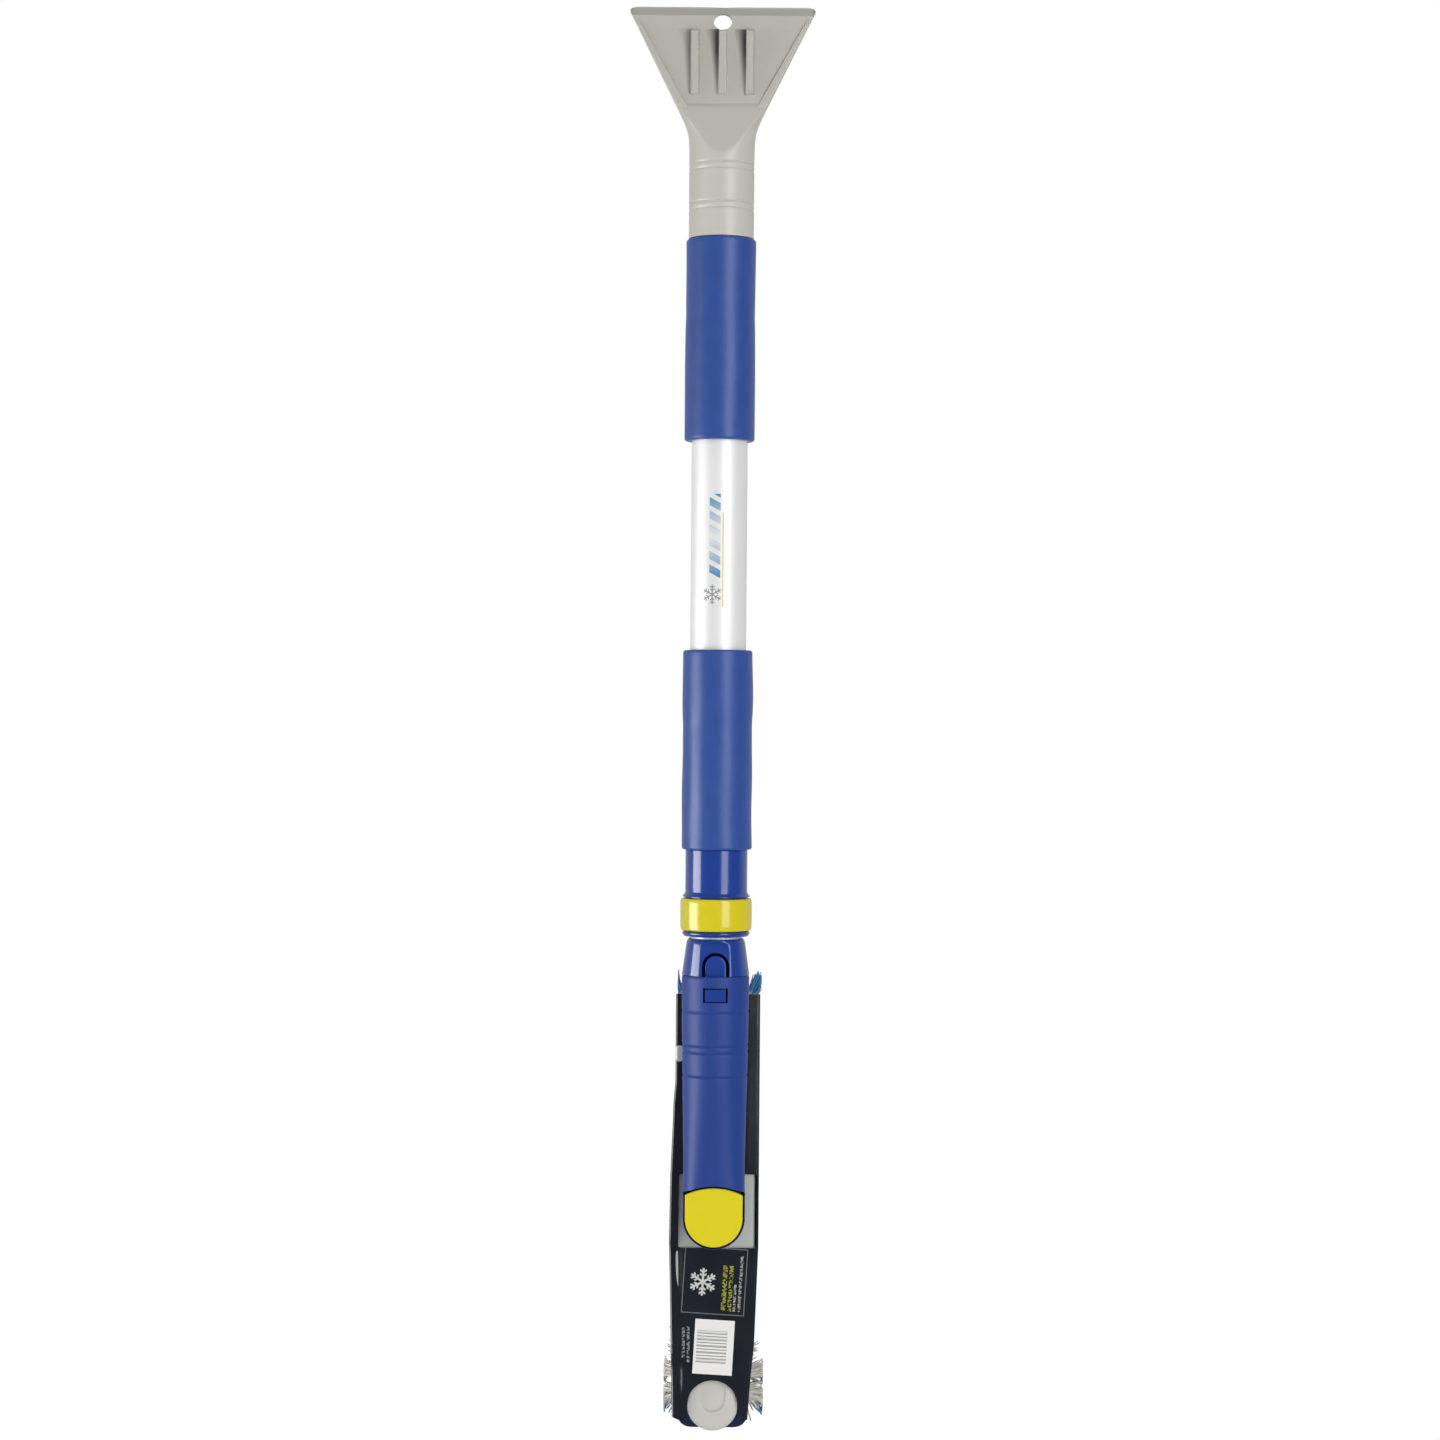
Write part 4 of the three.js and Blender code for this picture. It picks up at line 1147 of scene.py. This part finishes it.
def add_spine():
    """The head's plastic back, with its hub and the seats of the end pads."""
    outline = spine_outline()
    spine = add_skin("spine", stacked(outline, slab_steps(SPINE["front"], SPINE["back"], 3.2, arc=6)))
    steps = [(0.6, 14.3), (0, 14.9), (0, 21), (-1.0, 22.0), (-1.0, 24)]
    join_on(spine, add_skin("cutter", stacked(circle(*HUB_AXIS, HUB_RADIUS, 96), steps)))
    bore = stacked(circle(*HUB_AXIS, GEAR_BORE, 48), [(0, 10), (0, 31.5)])
    carve(spine, add_skin("cutter", bore))
    for end in (PIVOT[2] + END_OFFSET, PIVOT[2] - END_OFFSET):
        seat = stacked(circle(0, end, SEAT["radius"], 64), [(0, 18), (0, SEAT["depth"])])
        carve(spine, add_skin("cutter", seat))
    finish_piece(spine, FINISHES["spine"], "head", "pale_grey_plastic", "head_spine")
    soften(spine, 0.3, angle=50)


PAD_DOME = 1.5
THUMB = {"depth": 1.9, "turn": 3.6, "floor": 6.6, "wall": 7.5}


def add_pad(node, sign):
    """A round end pad: a domed button with a U-shaped thumb relief in it.

    Its front is y = rim - dome (1 - (r/R)^2), and inside the thumb's U, which
    is open to the rim, it steps back by the thumb's depth. From 0.69 R outwards
    that relief lies behind the pad's flat back, by up to 0.7 mm at 0.96 R.
    """
    low, high = cad_box(node)
    centre = (low + high) / 2
    radius = (high[0] - low[0]) / 2
    shares = np.concatenate([np.linspace(0.03, 0.93, 46), [0.96, 0.985, 1.0, 1.0, 0.98]])
    angles = np.arange(144) / 144 * TAU
    x = radius * shares[:, None] * np.cos(angles)
    z = radius * shares[:, None] * np.sin(angles)
    dome = PAD_DOME * (1 - shares[:, None] ** 2)
    turn = THUMB["turn"]
    reach = np.where(z < turn, np.hypot(x, z - turn), np.abs(x) - (z - turn) * 0.12)
    inside = 1 - smoothstep(reach, THUMB["floor"], THUMB["wall"])
    y = low[1] + 0.9 - dome + inside * THUMB["depth"]
    y[-4], y[-3], y[-2], y[-1] = low[1] + 0.35, low[1] + 0.9, high[1] - 0.3, high[1]
    rings = np.stack([x + centre[0], y, z * sign + centre[2]], -1)
    pad = add_skin(node.replace("end_", ""), rings)
    finish_piece(pad, FINISHES["pad"], "head", "grey_plastic", node)


BLOCK_DROP = 6.5


def add_block():
    """The bar that holds the tufts, with round corners, BLOCK_DROP mm longer below than in CAD."""
    low, high = cad_box("bristle_block")
    half, top, bottom = high[0], high[2], low[2] - BLOCK_DROP
    corners = [(half, bottom), (half, top), (-half, top), (-half, bottom)]
    outline = subdivided(rounded(corners, 9, steps=8), 6)
    block = add_skin("tuft_block", stacked(outline, slab_steps(low[1], high[1], 0.8)))
    finish_piece(block, FINISHES["navy"], "head", "navy_plastic", "bristle_block")


FIBRE_SIDES = 3
FIBRE_STEPS = 5
FIBRE_ROOT = 45
ROW_PITCH = 10.5
TUFT_RADIUS = 2.1
TUFT_REACH = 112


def fibre_limits(y, z):
    """How far left and right fibres may reach: the sleeve's walls, and more beyond its ends."""
    low, high = cad_box("retail_sleeve")
    mouth = low[2] + (SLEEVE_BACK_END - low[2]) * (y - low[1]) / (high[1] - low[1])
    top = high[2] - SLEEVE_TOP_SLANT * (y - low[1]) / (high[1] - low[1])
    above, below = smoothstep(z - top, 0.5, 5), smoothstep(mouth - z, 1, 8)
    wall = high[0] - 1.3
    left, right = sleeve_pull(z, LEFT_PULL), sleeve_pull(z, RIGHT_PULL)
    return (left - wall - above - below * (BELOW_HEM[0] + left),
            wall - right + above * 3 + below * (BELOW_HEM[1] + right))


def fibre_field(index, sizes, seed):
    """Points, faces and attributes of one row's fibres.

    A fibre runs from its root at (x0, block, z0) to its tip: at share t of its
    length, x = x0 + spread t^1.4, z = z0 + flare t^1.6 and a small crimp is
    added. A three-sided tube follows that line and narrows towards its tip.
    The end tufts have thicker fibres; the upper ones keep together and the
    lower ones fan out sideways and downwards.
    """
    random = np.random.default_rng(seed)
    row_high = cad_box(f"bristle_row_{index + 1}")[1]
    root_x = (index - 1.5) * ROW_PITCH
    tufts = np.repeat(np.linspace(-TUFT_REACH, TUFT_REACH, sizes.tufts), sizes.fibres)
    count = len(tufts)
    ring = random.uniform(0, TAU, count)
    reach = TUFT_RADIUS * np.sqrt(random.uniform(0, 1, count))
    x0 = root_x + reach * np.cos(ring)
    z0 = tufts + reach * np.sin(ring)
    t = np.linspace(0, 1, FIBRE_STEPS)
    high_end, low_end = smoothstep(tufts, 96, 113), smoothstep(-tufts, 88, 102)
    calm = 1 - 0.6 * high_end
    spread = root_x * 0.17 + (random.normal(0, 1.5, count) + np.cos(ring) * 1.6) * calm
    side = np.sign(root_x) * (abs(root_x) > 9)
    spread = spread + side * high_end * random.uniform(5, 10, count)
    spread = spread + (side + 0.5 * np.sign(root_x)) * low_end * random.uniform(3, 17, count)
    flare = tufts * 0.062 + (random.normal(0, 1.8, count) + np.sin(ring) * 1.6) * calm
    flare = flare + high_end * random.uniform(3, 9, count)
    flare = flare - smoothstep(-tufts, 96, 113) * random.uniform(1, 17, count)
    length = (row_high[1] - FIBRE_ROOT) * random.uniform(0.93, 1.0, count)
    wave = random.uniform(0, TAU, (2, count))
    crimp = 0.35 * np.sin(t[None] * 14 + wave[0][:, None]) * t
    curl = 0.35 * np.sin(t[None] * 12 + wave[1][:, None]) * t
    x = x0[:, None] + spread[:, None] * t ** 1.4 + crimp
    y = FIBRE_ROOT + length[:, None] * t
    z = PIVOT[2] + z0[:, None] + flare[:, None] * t ** 1.6 + curl
    x = np.clip(x, *fibre_limits(y, z))
    angle = np.arange(FIBRE_SIDES) / FIBRE_SIDES * TAU + ring[:, None, None]
    radius = sizes.fibre_radius * (1 - 0.35 * t)[None, :, None]
    radius = radius * (1 + 0.9 * high_end + 1.3 * low_end)[:, None, None]
    shape = (count, FIBRE_STEPS, FIBRE_SIDES)
    points = np.stack([
        x[..., None] + radius * np.cos(angle), np.broadcast_to(y[..., None], shape),
        z[..., None] + radius * np.sin(angle),
    ], -1).reshape(-1, 3)
    grid = np.arange(math.prod(shape)).reshape(shape)
    here, there = grid[:, :-1], grid[:, 1:]
    sides = np.stack([here, np.roll(here, -1, 2), np.roll(there, -1, 2), there], -1).reshape(-1, 4)
    ends = np.concatenate([grid[:, 0, ::-1], grid[:, -1]])
    dye = smoothstep(tufts, 80, 100) * 0.3 - low_end * (tufts > -108) * 0.3
    along = np.broadcast_to(t[None, :, None] + dye[:, None, None], shape).ravel()
    each = np.broadcast_to(random.uniform(0, 1, count)[:, None, None], shape).ravel()
    return points, [sides, ends], along, each


def add_bristles(index, sizes):
    """One row of tufts."""
    points, blocks, along, each = fibre_field(index, sizes, 40 + index)
    mesh = build_mesh(f"bristles_{index + 1}", points, blocks)
    for name, values in (("along", along), ("each", each)):
        layer = mesh.attributes.new(name, "FLOAT", "POINT")
        layer.data.foreach_set("value", values.astype(np.float32))
    obj = add_object(f"bristles_{index + 1}", mesh)
    finish = FINISHES["fibre"] if index in (0, 3) else FINISHES["fibre_inner"]
    finish_piece(obj, finish, "head", "bristle", f"bristle_row_{index + 1}", crease=80)


# --------------------------------------------------------------------- sleeve


SLEEVE_BACK_END = -752.0
BELOW_HEM = (4.4, 5.2)
SLEEVE_TOP_SLANT = 10.0
SLOT = {"half": 14.2, "bottom": -663}
WINDOW = [(-20.4, -703.8), (24.8, -703.8), (24.8, -661.2), (-20.4, -661.2)]
NOTCH = {"radius": 14.9, "mouth": 17.2}
CARD_THICKNESS = 0.7
BENT_FOLDS = ((-733, -701), (-790, -769))
LEFT_PULL = ((-803, 2.6), (-731, 1.0), (-700, 0.2), (-662, 0.7), (-634, 1.8), (-620, 2.2),
             (-608, 3.2), (-557, 3.2))
RIGHT_PULL = ((-803, 5.6), (-778, 3.8), (-761, 2.1), (-731, 1.0), (-703, 0.0), (-557, 0.0))


def sleeve_pull(z, pull):
    """How far a side wall is pressed in at height z."""
    heights, depths = np.array(pull).T
    return np.interp(z, heights, depths)


def sleeve_section(inset, steps=300):
    """A rounded rectangle in X and Y, walked at even steps."""
    low, high = cad_box("retail_sleeve")
    half, front, back = high[0] - inset, low[1] + inset, high[1] - inset
    corners = rounded(
        [(0, front), (half, front), (half, back), (-half, back), (-half, front)],
        [0, 1.6, 5, 5, 1.6], steps=6,
    )
    closed = np.concatenate([corners, corners[:1]])
    gaps = np.linalg.norm(np.diff(closed, axis=0), axis=1)
    walked = np.concatenate([[0], np.cumsum(gaps)])
    even = np.linspace(0, walked[-1], steps, endpoint=False)
    return np.column_stack([np.interp(even, walked, closed[:, i]) for i in (0, 1)])


def sleeve_wall(inset, z, bulge):
    """One wall of the sleeve: its section at each z, pressed in and pushed out softly.

    The sides move in by sleeve_pull and out by bulge times smooth waves, and
    two stretches of the left fold bend back. All of it is the same on both
    walls, so the card keeps its thickness.
    """
    flat, outer = sleeve_section(inset), sleeve_section(0)
    rings = np.empty((len(z), len(flat), 3))
    rings[..., :2] = flat[None]
    rings[..., 2] = z[:, None]
    x, y = np.broadcast_to(outer[None], (len(z), *outer.shape)).transpose(2, 0, 1)
    height = np.broadcast_to(z[:, None], x.shape)
    push = waves(np.stack([x, y, height], -1), 34, 11) * bulge * 0.55
    sides = smoothstep(np.abs(x), 13, 25)
    rear = smoothstep(y, 30, 60)
    pressed = np.where(x < 0, sleeve_pull(height, LEFT_PULL), -sleeve_pull(height, RIGHT_PULL))
    rings[..., 0] += sides * (pressed + np.sign(x) * rear * push * 0.5)
    rings[..., 1] += rear * push * 0.5
    creased = sum(
        smoothstep(height, low - 6, low + 6) * (1 - smoothstep(height, high - 6, high + 6))
        for low, high in BENT_FOLDS
    )
    rings[..., 1] += 1.5 * smoothstep(-x, 16.5, 21.5) * creased * (1 - smoothstep(y, 22, 30))
    return rings


def add_sleeve(sizes):
    """The card sleeve: a thin folded wall with its slot, window and notch cut out."""
    low, high = cad_box("retail_sleeve")
    z = np.linspace(low[2] - 3, high[2], 120)
    outer = sleeve_wall(0, z, sizes.card_bulge)
    inner = sleeve_wall(CARD_THICKNESS, z, sizes.card_bulge)
    sleeve = add_skin("card_sleeve", np.concatenate([outer, inner[::-1]]), "loop")
    front, back = low[1] - 2, low[1] + 5
    slot = add_box("cutter", (-SLOT["half"], front, SLOT["bottom"]), (SLOT["half"], back, high[2] + 2))
    window = add_skin("cutter", stacked(rounded(WINDOW, 1.2), [(0, front), (0, low[1] + 2.4)]))
    end = PIVOT[2] - END_OFFSET
    notch_outline = np.concatenate([
        [(NOTCH["mouth"] + 0.3, low[2] - 5)], [(NOTCH["mouth"], low[2] - 1.5)],
        arc(0, end, NOTCH["radius"], 0, 180, 49),
        [(-NOTCH["mouth"], low[2] - 1.5)], [(-NOTCH["mouth"] - 0.3, low[2] - 5)],
    ])
    notch = add_skin("cutter", stacked(notch_outline, [(0, front), (0, back)]))
    slant = np.array([
        [(x, low[1] + 3, low[2] - 4), (x, high[1] + 8, SLEEVE_BACK_END),
         (x, high[1] + 8, low[2] - 9), (x, low[1] + 3, low[2] - 9)] for x in (-60.0, 60.0)
    ])
    top_slant = np.array([
        [(x, low[1] + 1, high[2] + 0.1), (x, high[1], high[2] - SLEEVE_TOP_SLANT),
         (x, high[1] + 8, high[2] - SLEEVE_TOP_SLANT), (x, high[1] + 8, high[2] + 4),
         (x, low[1] + 1, high[2] + 4)] for x in (-60.0, 60.0)
    ])
    carve(sleeve, slot, window, notch, add_skin("cutter", slant), add_skin("cutter", top_slant))
    for side in (-1, 1):
        hem = np.array([(11, low[2] - 4), (30, low[2] - 4), (30, low[2] + 4), (26, low[2] + 2.4)])
        hem[:, 0] *= side
        carve(sleeve, add_skin("cutter", stacked(hem, [(0, front - 5), (0, high[1] + 5)])))
    finish_piece(sleeve, FINISHES["card"], "sleeve", "printed_card", "retail_sleeve", crease=50)
    whiten_edges(sleeve)


def whiten_edges(obj):
    """Gives the card's narrow cut faces the raw card finish."""
    mesh = obj.data
    mesh.materials.append(FINISHES["card_core"])
    count = len(mesh.polygons)
    normals, centres = np.empty(count * 3), np.empty(count * 3)
    mesh.polygons.foreach_get("normal", normals)
    mesh.polygons.foreach_get("center", centres)
    normals, centres = normals.reshape(-1, 3), centres.reshape(-1, 3) / MM
    low, high = cad_box("retail_sleeve")
    on_front = centres[:, 1] < low[1] + 5
    sideways = (np.abs(normals[:, 1]) < 0.3) & on_front & (np.abs(centres[:, 0]) < 25)
    upright = np.abs(normals[:, 2]) > 0.45
    mesh.polygons.foreach_set("material_index", (sideways | upright).astype(np.int32))


# ----------------------------------------------------------- small metal parts


def add_fasteners():
    """The screw in the neck and the rivet in the lock housing, seen from behind."""
    for name, node, dome in (("neck_bolt", "neck_screw", 0.5), ("lock_rivet", "housing_rivet", 0.9)):
        low, high = cad_box(node)
        middle = (low + high) / 2
        outline = circle(0, middle[2], 3.6, 48)
        rise = high[1] - 1.4
        steps = [(1.7, low[1]), (1.7, rise), (0, rise), (0, rise + 0.5)]
        for angle in (0.4, 0.8, 1.2, 1.45):
            steps.append((3.6 * (1 - math.cos(angle)), rise + 0.5 + dome * math.sin(angle)))
        head = add_skin(name, stacked(outline, steps))
        if node == "neck_screw":
            for turned in (0, 1):
                wide, tall = (2.2, 0.4) if turned else (0.4, 2.2)
                carve(head, add_box("cutter", (-wide, high[1] - 0.9, middle[2] - tall),
                                    (wide, high[1] + 2, middle[2] + tall)))
        finish_piece(head, FINISHES["steel"], "handle", "steel", node)


CAD_FINISHES = {
    "lock_jaw": "inner_plastic", "guide_plug": "inner_plastic", "lock_gear": "inner_plastic",
    "adapter_rivet": "steel", "pivot_bolt": "steel", "pivot_washer": "steel",
    "pivot_nut": "steel", "button_spring": "steel", "block_screw_upper": "steel",
    "block_screw_lower": "steel",
}


def paint_cad():
    """Gives each carried-over CAD node its finish."""
    for node, finish in CAD_FINISHES.items():
        mesh = frame["nodes"][node].data
        mesh.materials.clear()
        mesh.materials.append(FINISHES[finish])


# ---------------------------------------------------------------------- stage


def add_area_light(name, position, size, power, lights):
    """A soft rectangular light that faces the tool, all in metres.

    lights is "matte" or "glossy", for the kind of reflection that it feeds.
    """
    data = bpy.data.lights.new(name, "AREA")
    data.shape = "RECTANGLE"
    data.size, data.size_y = size
    data.energy = power
    light = bpy.data.objects.new(name, data)
    bpy.context.scene.collection.objects.link(light)
    light.location = position
    direction = Vector((-position[0], -position[1], 0))
    light.rotation_euler = direction.to_track_quat("-Z", "Y").to_euler()
    light.visible_diffuse = lights == "matte"
    light.visible_glossy = lights == "glossy"


CAMERA = {
    "distance": 1.8, "view_height": 0.823, "middle": -0.3986, "lean": math.radians(-0.447),
    "shift": 0.0014,
}


def add_camera():
    """A level camera before the button side, turned a little so that the tool leans."""
    data = bpy.data.cameras.new("camera")
    data.sensor_width = 36
    data.lens = 18 / (CAMERA["view_height"] / 2 / CAMERA["distance"])
    data.clip_end = 20
    camera = bpy.data.objects.new("camera", data)
    bpy.context.scene.collection.objects.link(camera)
    camera.location = (CAMERA["shift"], -CAMERA["distance"], CAMERA["middle"])
    upright = Matrix.Rotation(math.pi / 2, 4, "X")
    camera.rotation_euler = (Matrix.Rotation(CAMERA["lean"], 4, "Y") @ upright).to_euler()
    bpy.context.scene.camera = camera


def add_surroundings():
    """White behind the tool; a dimmer room, brighter in front, lights it."""
    world = bpy.data.worlds.new("studio")
    bpy.context.scene.world = world
    world.use_nodes = True
    nodes = Nodes(world.node_tree)
    seen = nodes.node("ShaderNodeLightPath", outlet=0)
    mirrored = nodes.node("ShaderNodeLightPath", outlet=3)
    direction = nodes.node("ShaderNodeTexCoord")
    split = nodes.node("ShaderNodeSeparateXYZ", Vector=direction)
    y = Socket(nodes.tree, split.output.node.outputs[1])
    behind = (y * 2.0 + 0.1).clamp()
    matte = y * -0.20 + 0.27
    glossy = behind * 0.38 + 0.13
    room = mirrored * glossy + (1.0 - mirrored) * matte
    strength = seen + (1.0 - seen) * room
    background = nodes.node("ShaderNodeBackground", Color=(1, 1, 1), Strength=strength)
    output = nodes.tree.nodes.new("ShaderNodeOutputWorld")
    nodes.tree.links.new(background.output, output.inputs[0])


FLOOR_Z = -1800
FLOOR_RINGS = ((2400, 10), (2500, 5), (2490, 0))
LIGHTS = (
    ("key", (0.887, -1.392, -0.55), (0.854, 2.31), 18, "matte"),
    ("fill", (-1.419, -0.174, -0.55), (1.1, 2.31), 16, "matte"),
    ("back", (0.3, 1.75, -0.55), (1.4, 2.31), 22, "matte"),
    ("right_strip", (0.773, -1.286, 0.05), (0.65, 1.5), 9.8, "glossy"),
    ("left_strip", (-1.272, -0.27, -0.75), (0.8, 0.9), 14.3, "glossy"),
)


def add_stage():
    """Pale floor, white surroundings, soft lights and the camera.

    The floor glows a little for the camera, but neither lights the tool nor
    shows in it.
    """
    angle = np.arange(64) / 64 * TAU
    rings = np.array([
        np.column_stack([radius * np.sin(angle), -radius * np.cos(angle), np.full(64, FLOOR_Z - drop)])
        for radius, drop in FLOOR_RINGS
    ])
    floor = add_skin("floor", rings)
    floor.data.materials.append(FINISHES["floor"])
    floor.visible_diffuse = False
    floor.visible_glossy = False
    add_surroundings()
    for light in LIGHTS:
        add_area_light(*light)
    bpy.context.scene.view_settings.view_transform = "Standard"
    add_camera()


# ------------------------------------------------------------------ operators


class BuildOperator(bpy.types.Operator):
    """Shared settings of the operators below."""

    bl_options = {"REGISTER", "UNDO"}

    def sizes(self, context):
        return context.scene.brush_sizes


class BRUSH_OT_finishes(BuildOperator):
    """Make the materials"""

    bl_idname = "brush.finishes"
    bl_label = "Finishes"

    def execute(self, context):
        make_finishes(context.scene.brush_colours)
        return {"FINISHED"}


class BRUSH_OT_stage(BuildOperator):
    """Set up floor, lights and camera"""

    bl_idname = "brush.stage"
    bl_label = "Stage"

    def execute(self, context):
        add_stage()
        return {"FINISHED"}


class BRUSH_OT_scraper(BuildOperator):
    """Model the ice scraper"""

    bl_idname = "brush.scraper"
    bl_label = "Scraper"

    def execute(self, context):
        add_scraper()
        return {"FINISHED"}


class BRUSH_OT_tubes(BuildOperator):
    """Model the two aluminium tubes"""

    bl_idname = "brush.tubes"
    bl_label = "Tubes"

    def execute(self, context):
        for name, node, finish, body, wall in (
            ("main_tube", "outer_tube", "tube", "handle", 1.2),
            ("sliding_tube", "inner_tube", "inner_tube", "extension", 1.0),
        ):
            low, high = cad_box(node)
            add_round(name, tube_corners(high[0] - wall, high[0], low[2], high[2]), 0.25,
                      finish, body, "tube_aluminium", node, step=25)
        return {"FINISHED"}


class BRUSH_OT_grips(BuildOperator):
    """Model the foam grips"""

    bl_idname = "brush.grips"
    bl_label = "Foam grips"

    def execute(self, context):
        for seed, name in enumerate(("foam_grip_upper", "foam_grip_lower")):
            add_grip(name, self.sizes(context), 3 + seed)
        return {"FINISHED"}


class BRUSH_OT_lock(BuildOperator):
    """Model the twist lock"""

    bl_idname = "brush.lock"
    bl_label = "Twist lock"

    def execute(self, context):
        add_lock(self.sizes(context))
        return {"FINISHED"}


class BRUSH_OT_adapter(BuildOperator):
    """Model the adapter and its snap tongue"""

    bl_idname = "brush.adapter"
    bl_label = "Adapter"

    def execute(self, context):
        add_adapter()
        add_tongue()
        return {"FINISHED"}


class BRUSH_OT_arm(BuildOperator):
    """Model the arm and its push button"""

    bl_idname = "brush.arm"
    bl_label = "Arm"

    def execute(self, context):
        add_arm()
        add_button()
        return {"FINISHED"}


class BRUSH_OT_head(BuildOperator):
    """Model the brush head's back, end pads and tuft block"""

    bl_idname = "brush.head"
    bl_label = "Brush head"

    def execute(self, context):
        add_spine()
        add_pad("end_pad_upper", -1)
        add_pad("end_pad_lower", 1)
        add_block()
        return {"FINISHED"}


class BRUSH_OT_bristles(BuildOperator):
    """Model the rows of bristles"""

    bl_idname = "brush.bristles"
    bl_label = "Bristles"

    def execute(self, context):
        for index in range(4):
            add_bristles(index, self.sizes(context))
        return {"FINISHED"}


class BRUSH_OT_sleeve(BuildOperator):
    """Model the card sleeve"""

    bl_idname = "brush.sleeve"
    bl_label = "Card sleeve"

    def execute(self, context):
        add_sleeve(self.sizes(context))
        return {"FINISHED"}


class BRUSH_OT_hardware(BuildOperator):
    """Model the visible fasteners and paint the hidden parts"""

    bl_idname = "brush.hardware"
    bl_label = "Hardware"

    def execute(self, context):
        add_fasteners()
        paint_cad()
        return {"FINISHED"}


OPERATORS = (
    BRUSH_OT_finishes, BRUSH_OT_stage, BRUSH_OT_scraper, BRUSH_OT_tubes, BRUSH_OT_grips,
    BRUSH_OT_lock, BRUSH_OT_adapter, BRUSH_OT_arm, BRUSH_OT_head, BRUSH_OT_bristles,
    BRUSH_OT_sleeve, BRUSH_OT_hardware,
)


class BRUSH_PT_panel(bpy.types.Panel):
    """Lists the operators in the order that they run"""

    bl_idname = "BRUSH_PT_panel"
    bl_label = "Snow Brush"
    bl_space_type = "VIEW_3D"
    bl_region_type = "UI"
    bl_category = "Snow Brush"

    def draw(self, context):
        for operator in OPERATORS:
            self.layout.operator(operator.bl_idname)
        for group in (context.scene.brush_sizes, context.scene.brush_colours):
            for key in group.__annotations__:
                self.layout.prop(group, key)


CLASSES = (BrushSizes, BrushColours, *OPERATORS, BRUSH_PT_panel)


def register():
    for cls in CLASSES:
        bpy.utils.register_class(cls)
    bpy.types.Scene.brush_sizes = PointerProperty(type=BrushSizes)
    bpy.types.Scene.brush_colours = PointerProperty(type=BrushColours)


def unregister():
    del bpy.types.Scene.brush_colours
    del bpy.types.Scene.brush_sizes
    for cls in reversed(CLASSES):
        bpy.utils.unregister_class(cls)


def main():
    """Builds the tool."""
    register()
    for operator in OPERATORS:
        group, name = operator.bl_idname.split(".")
        getattr(getattr(bpy.ops, group), name)()


if __name__ == "__main__":
    main()
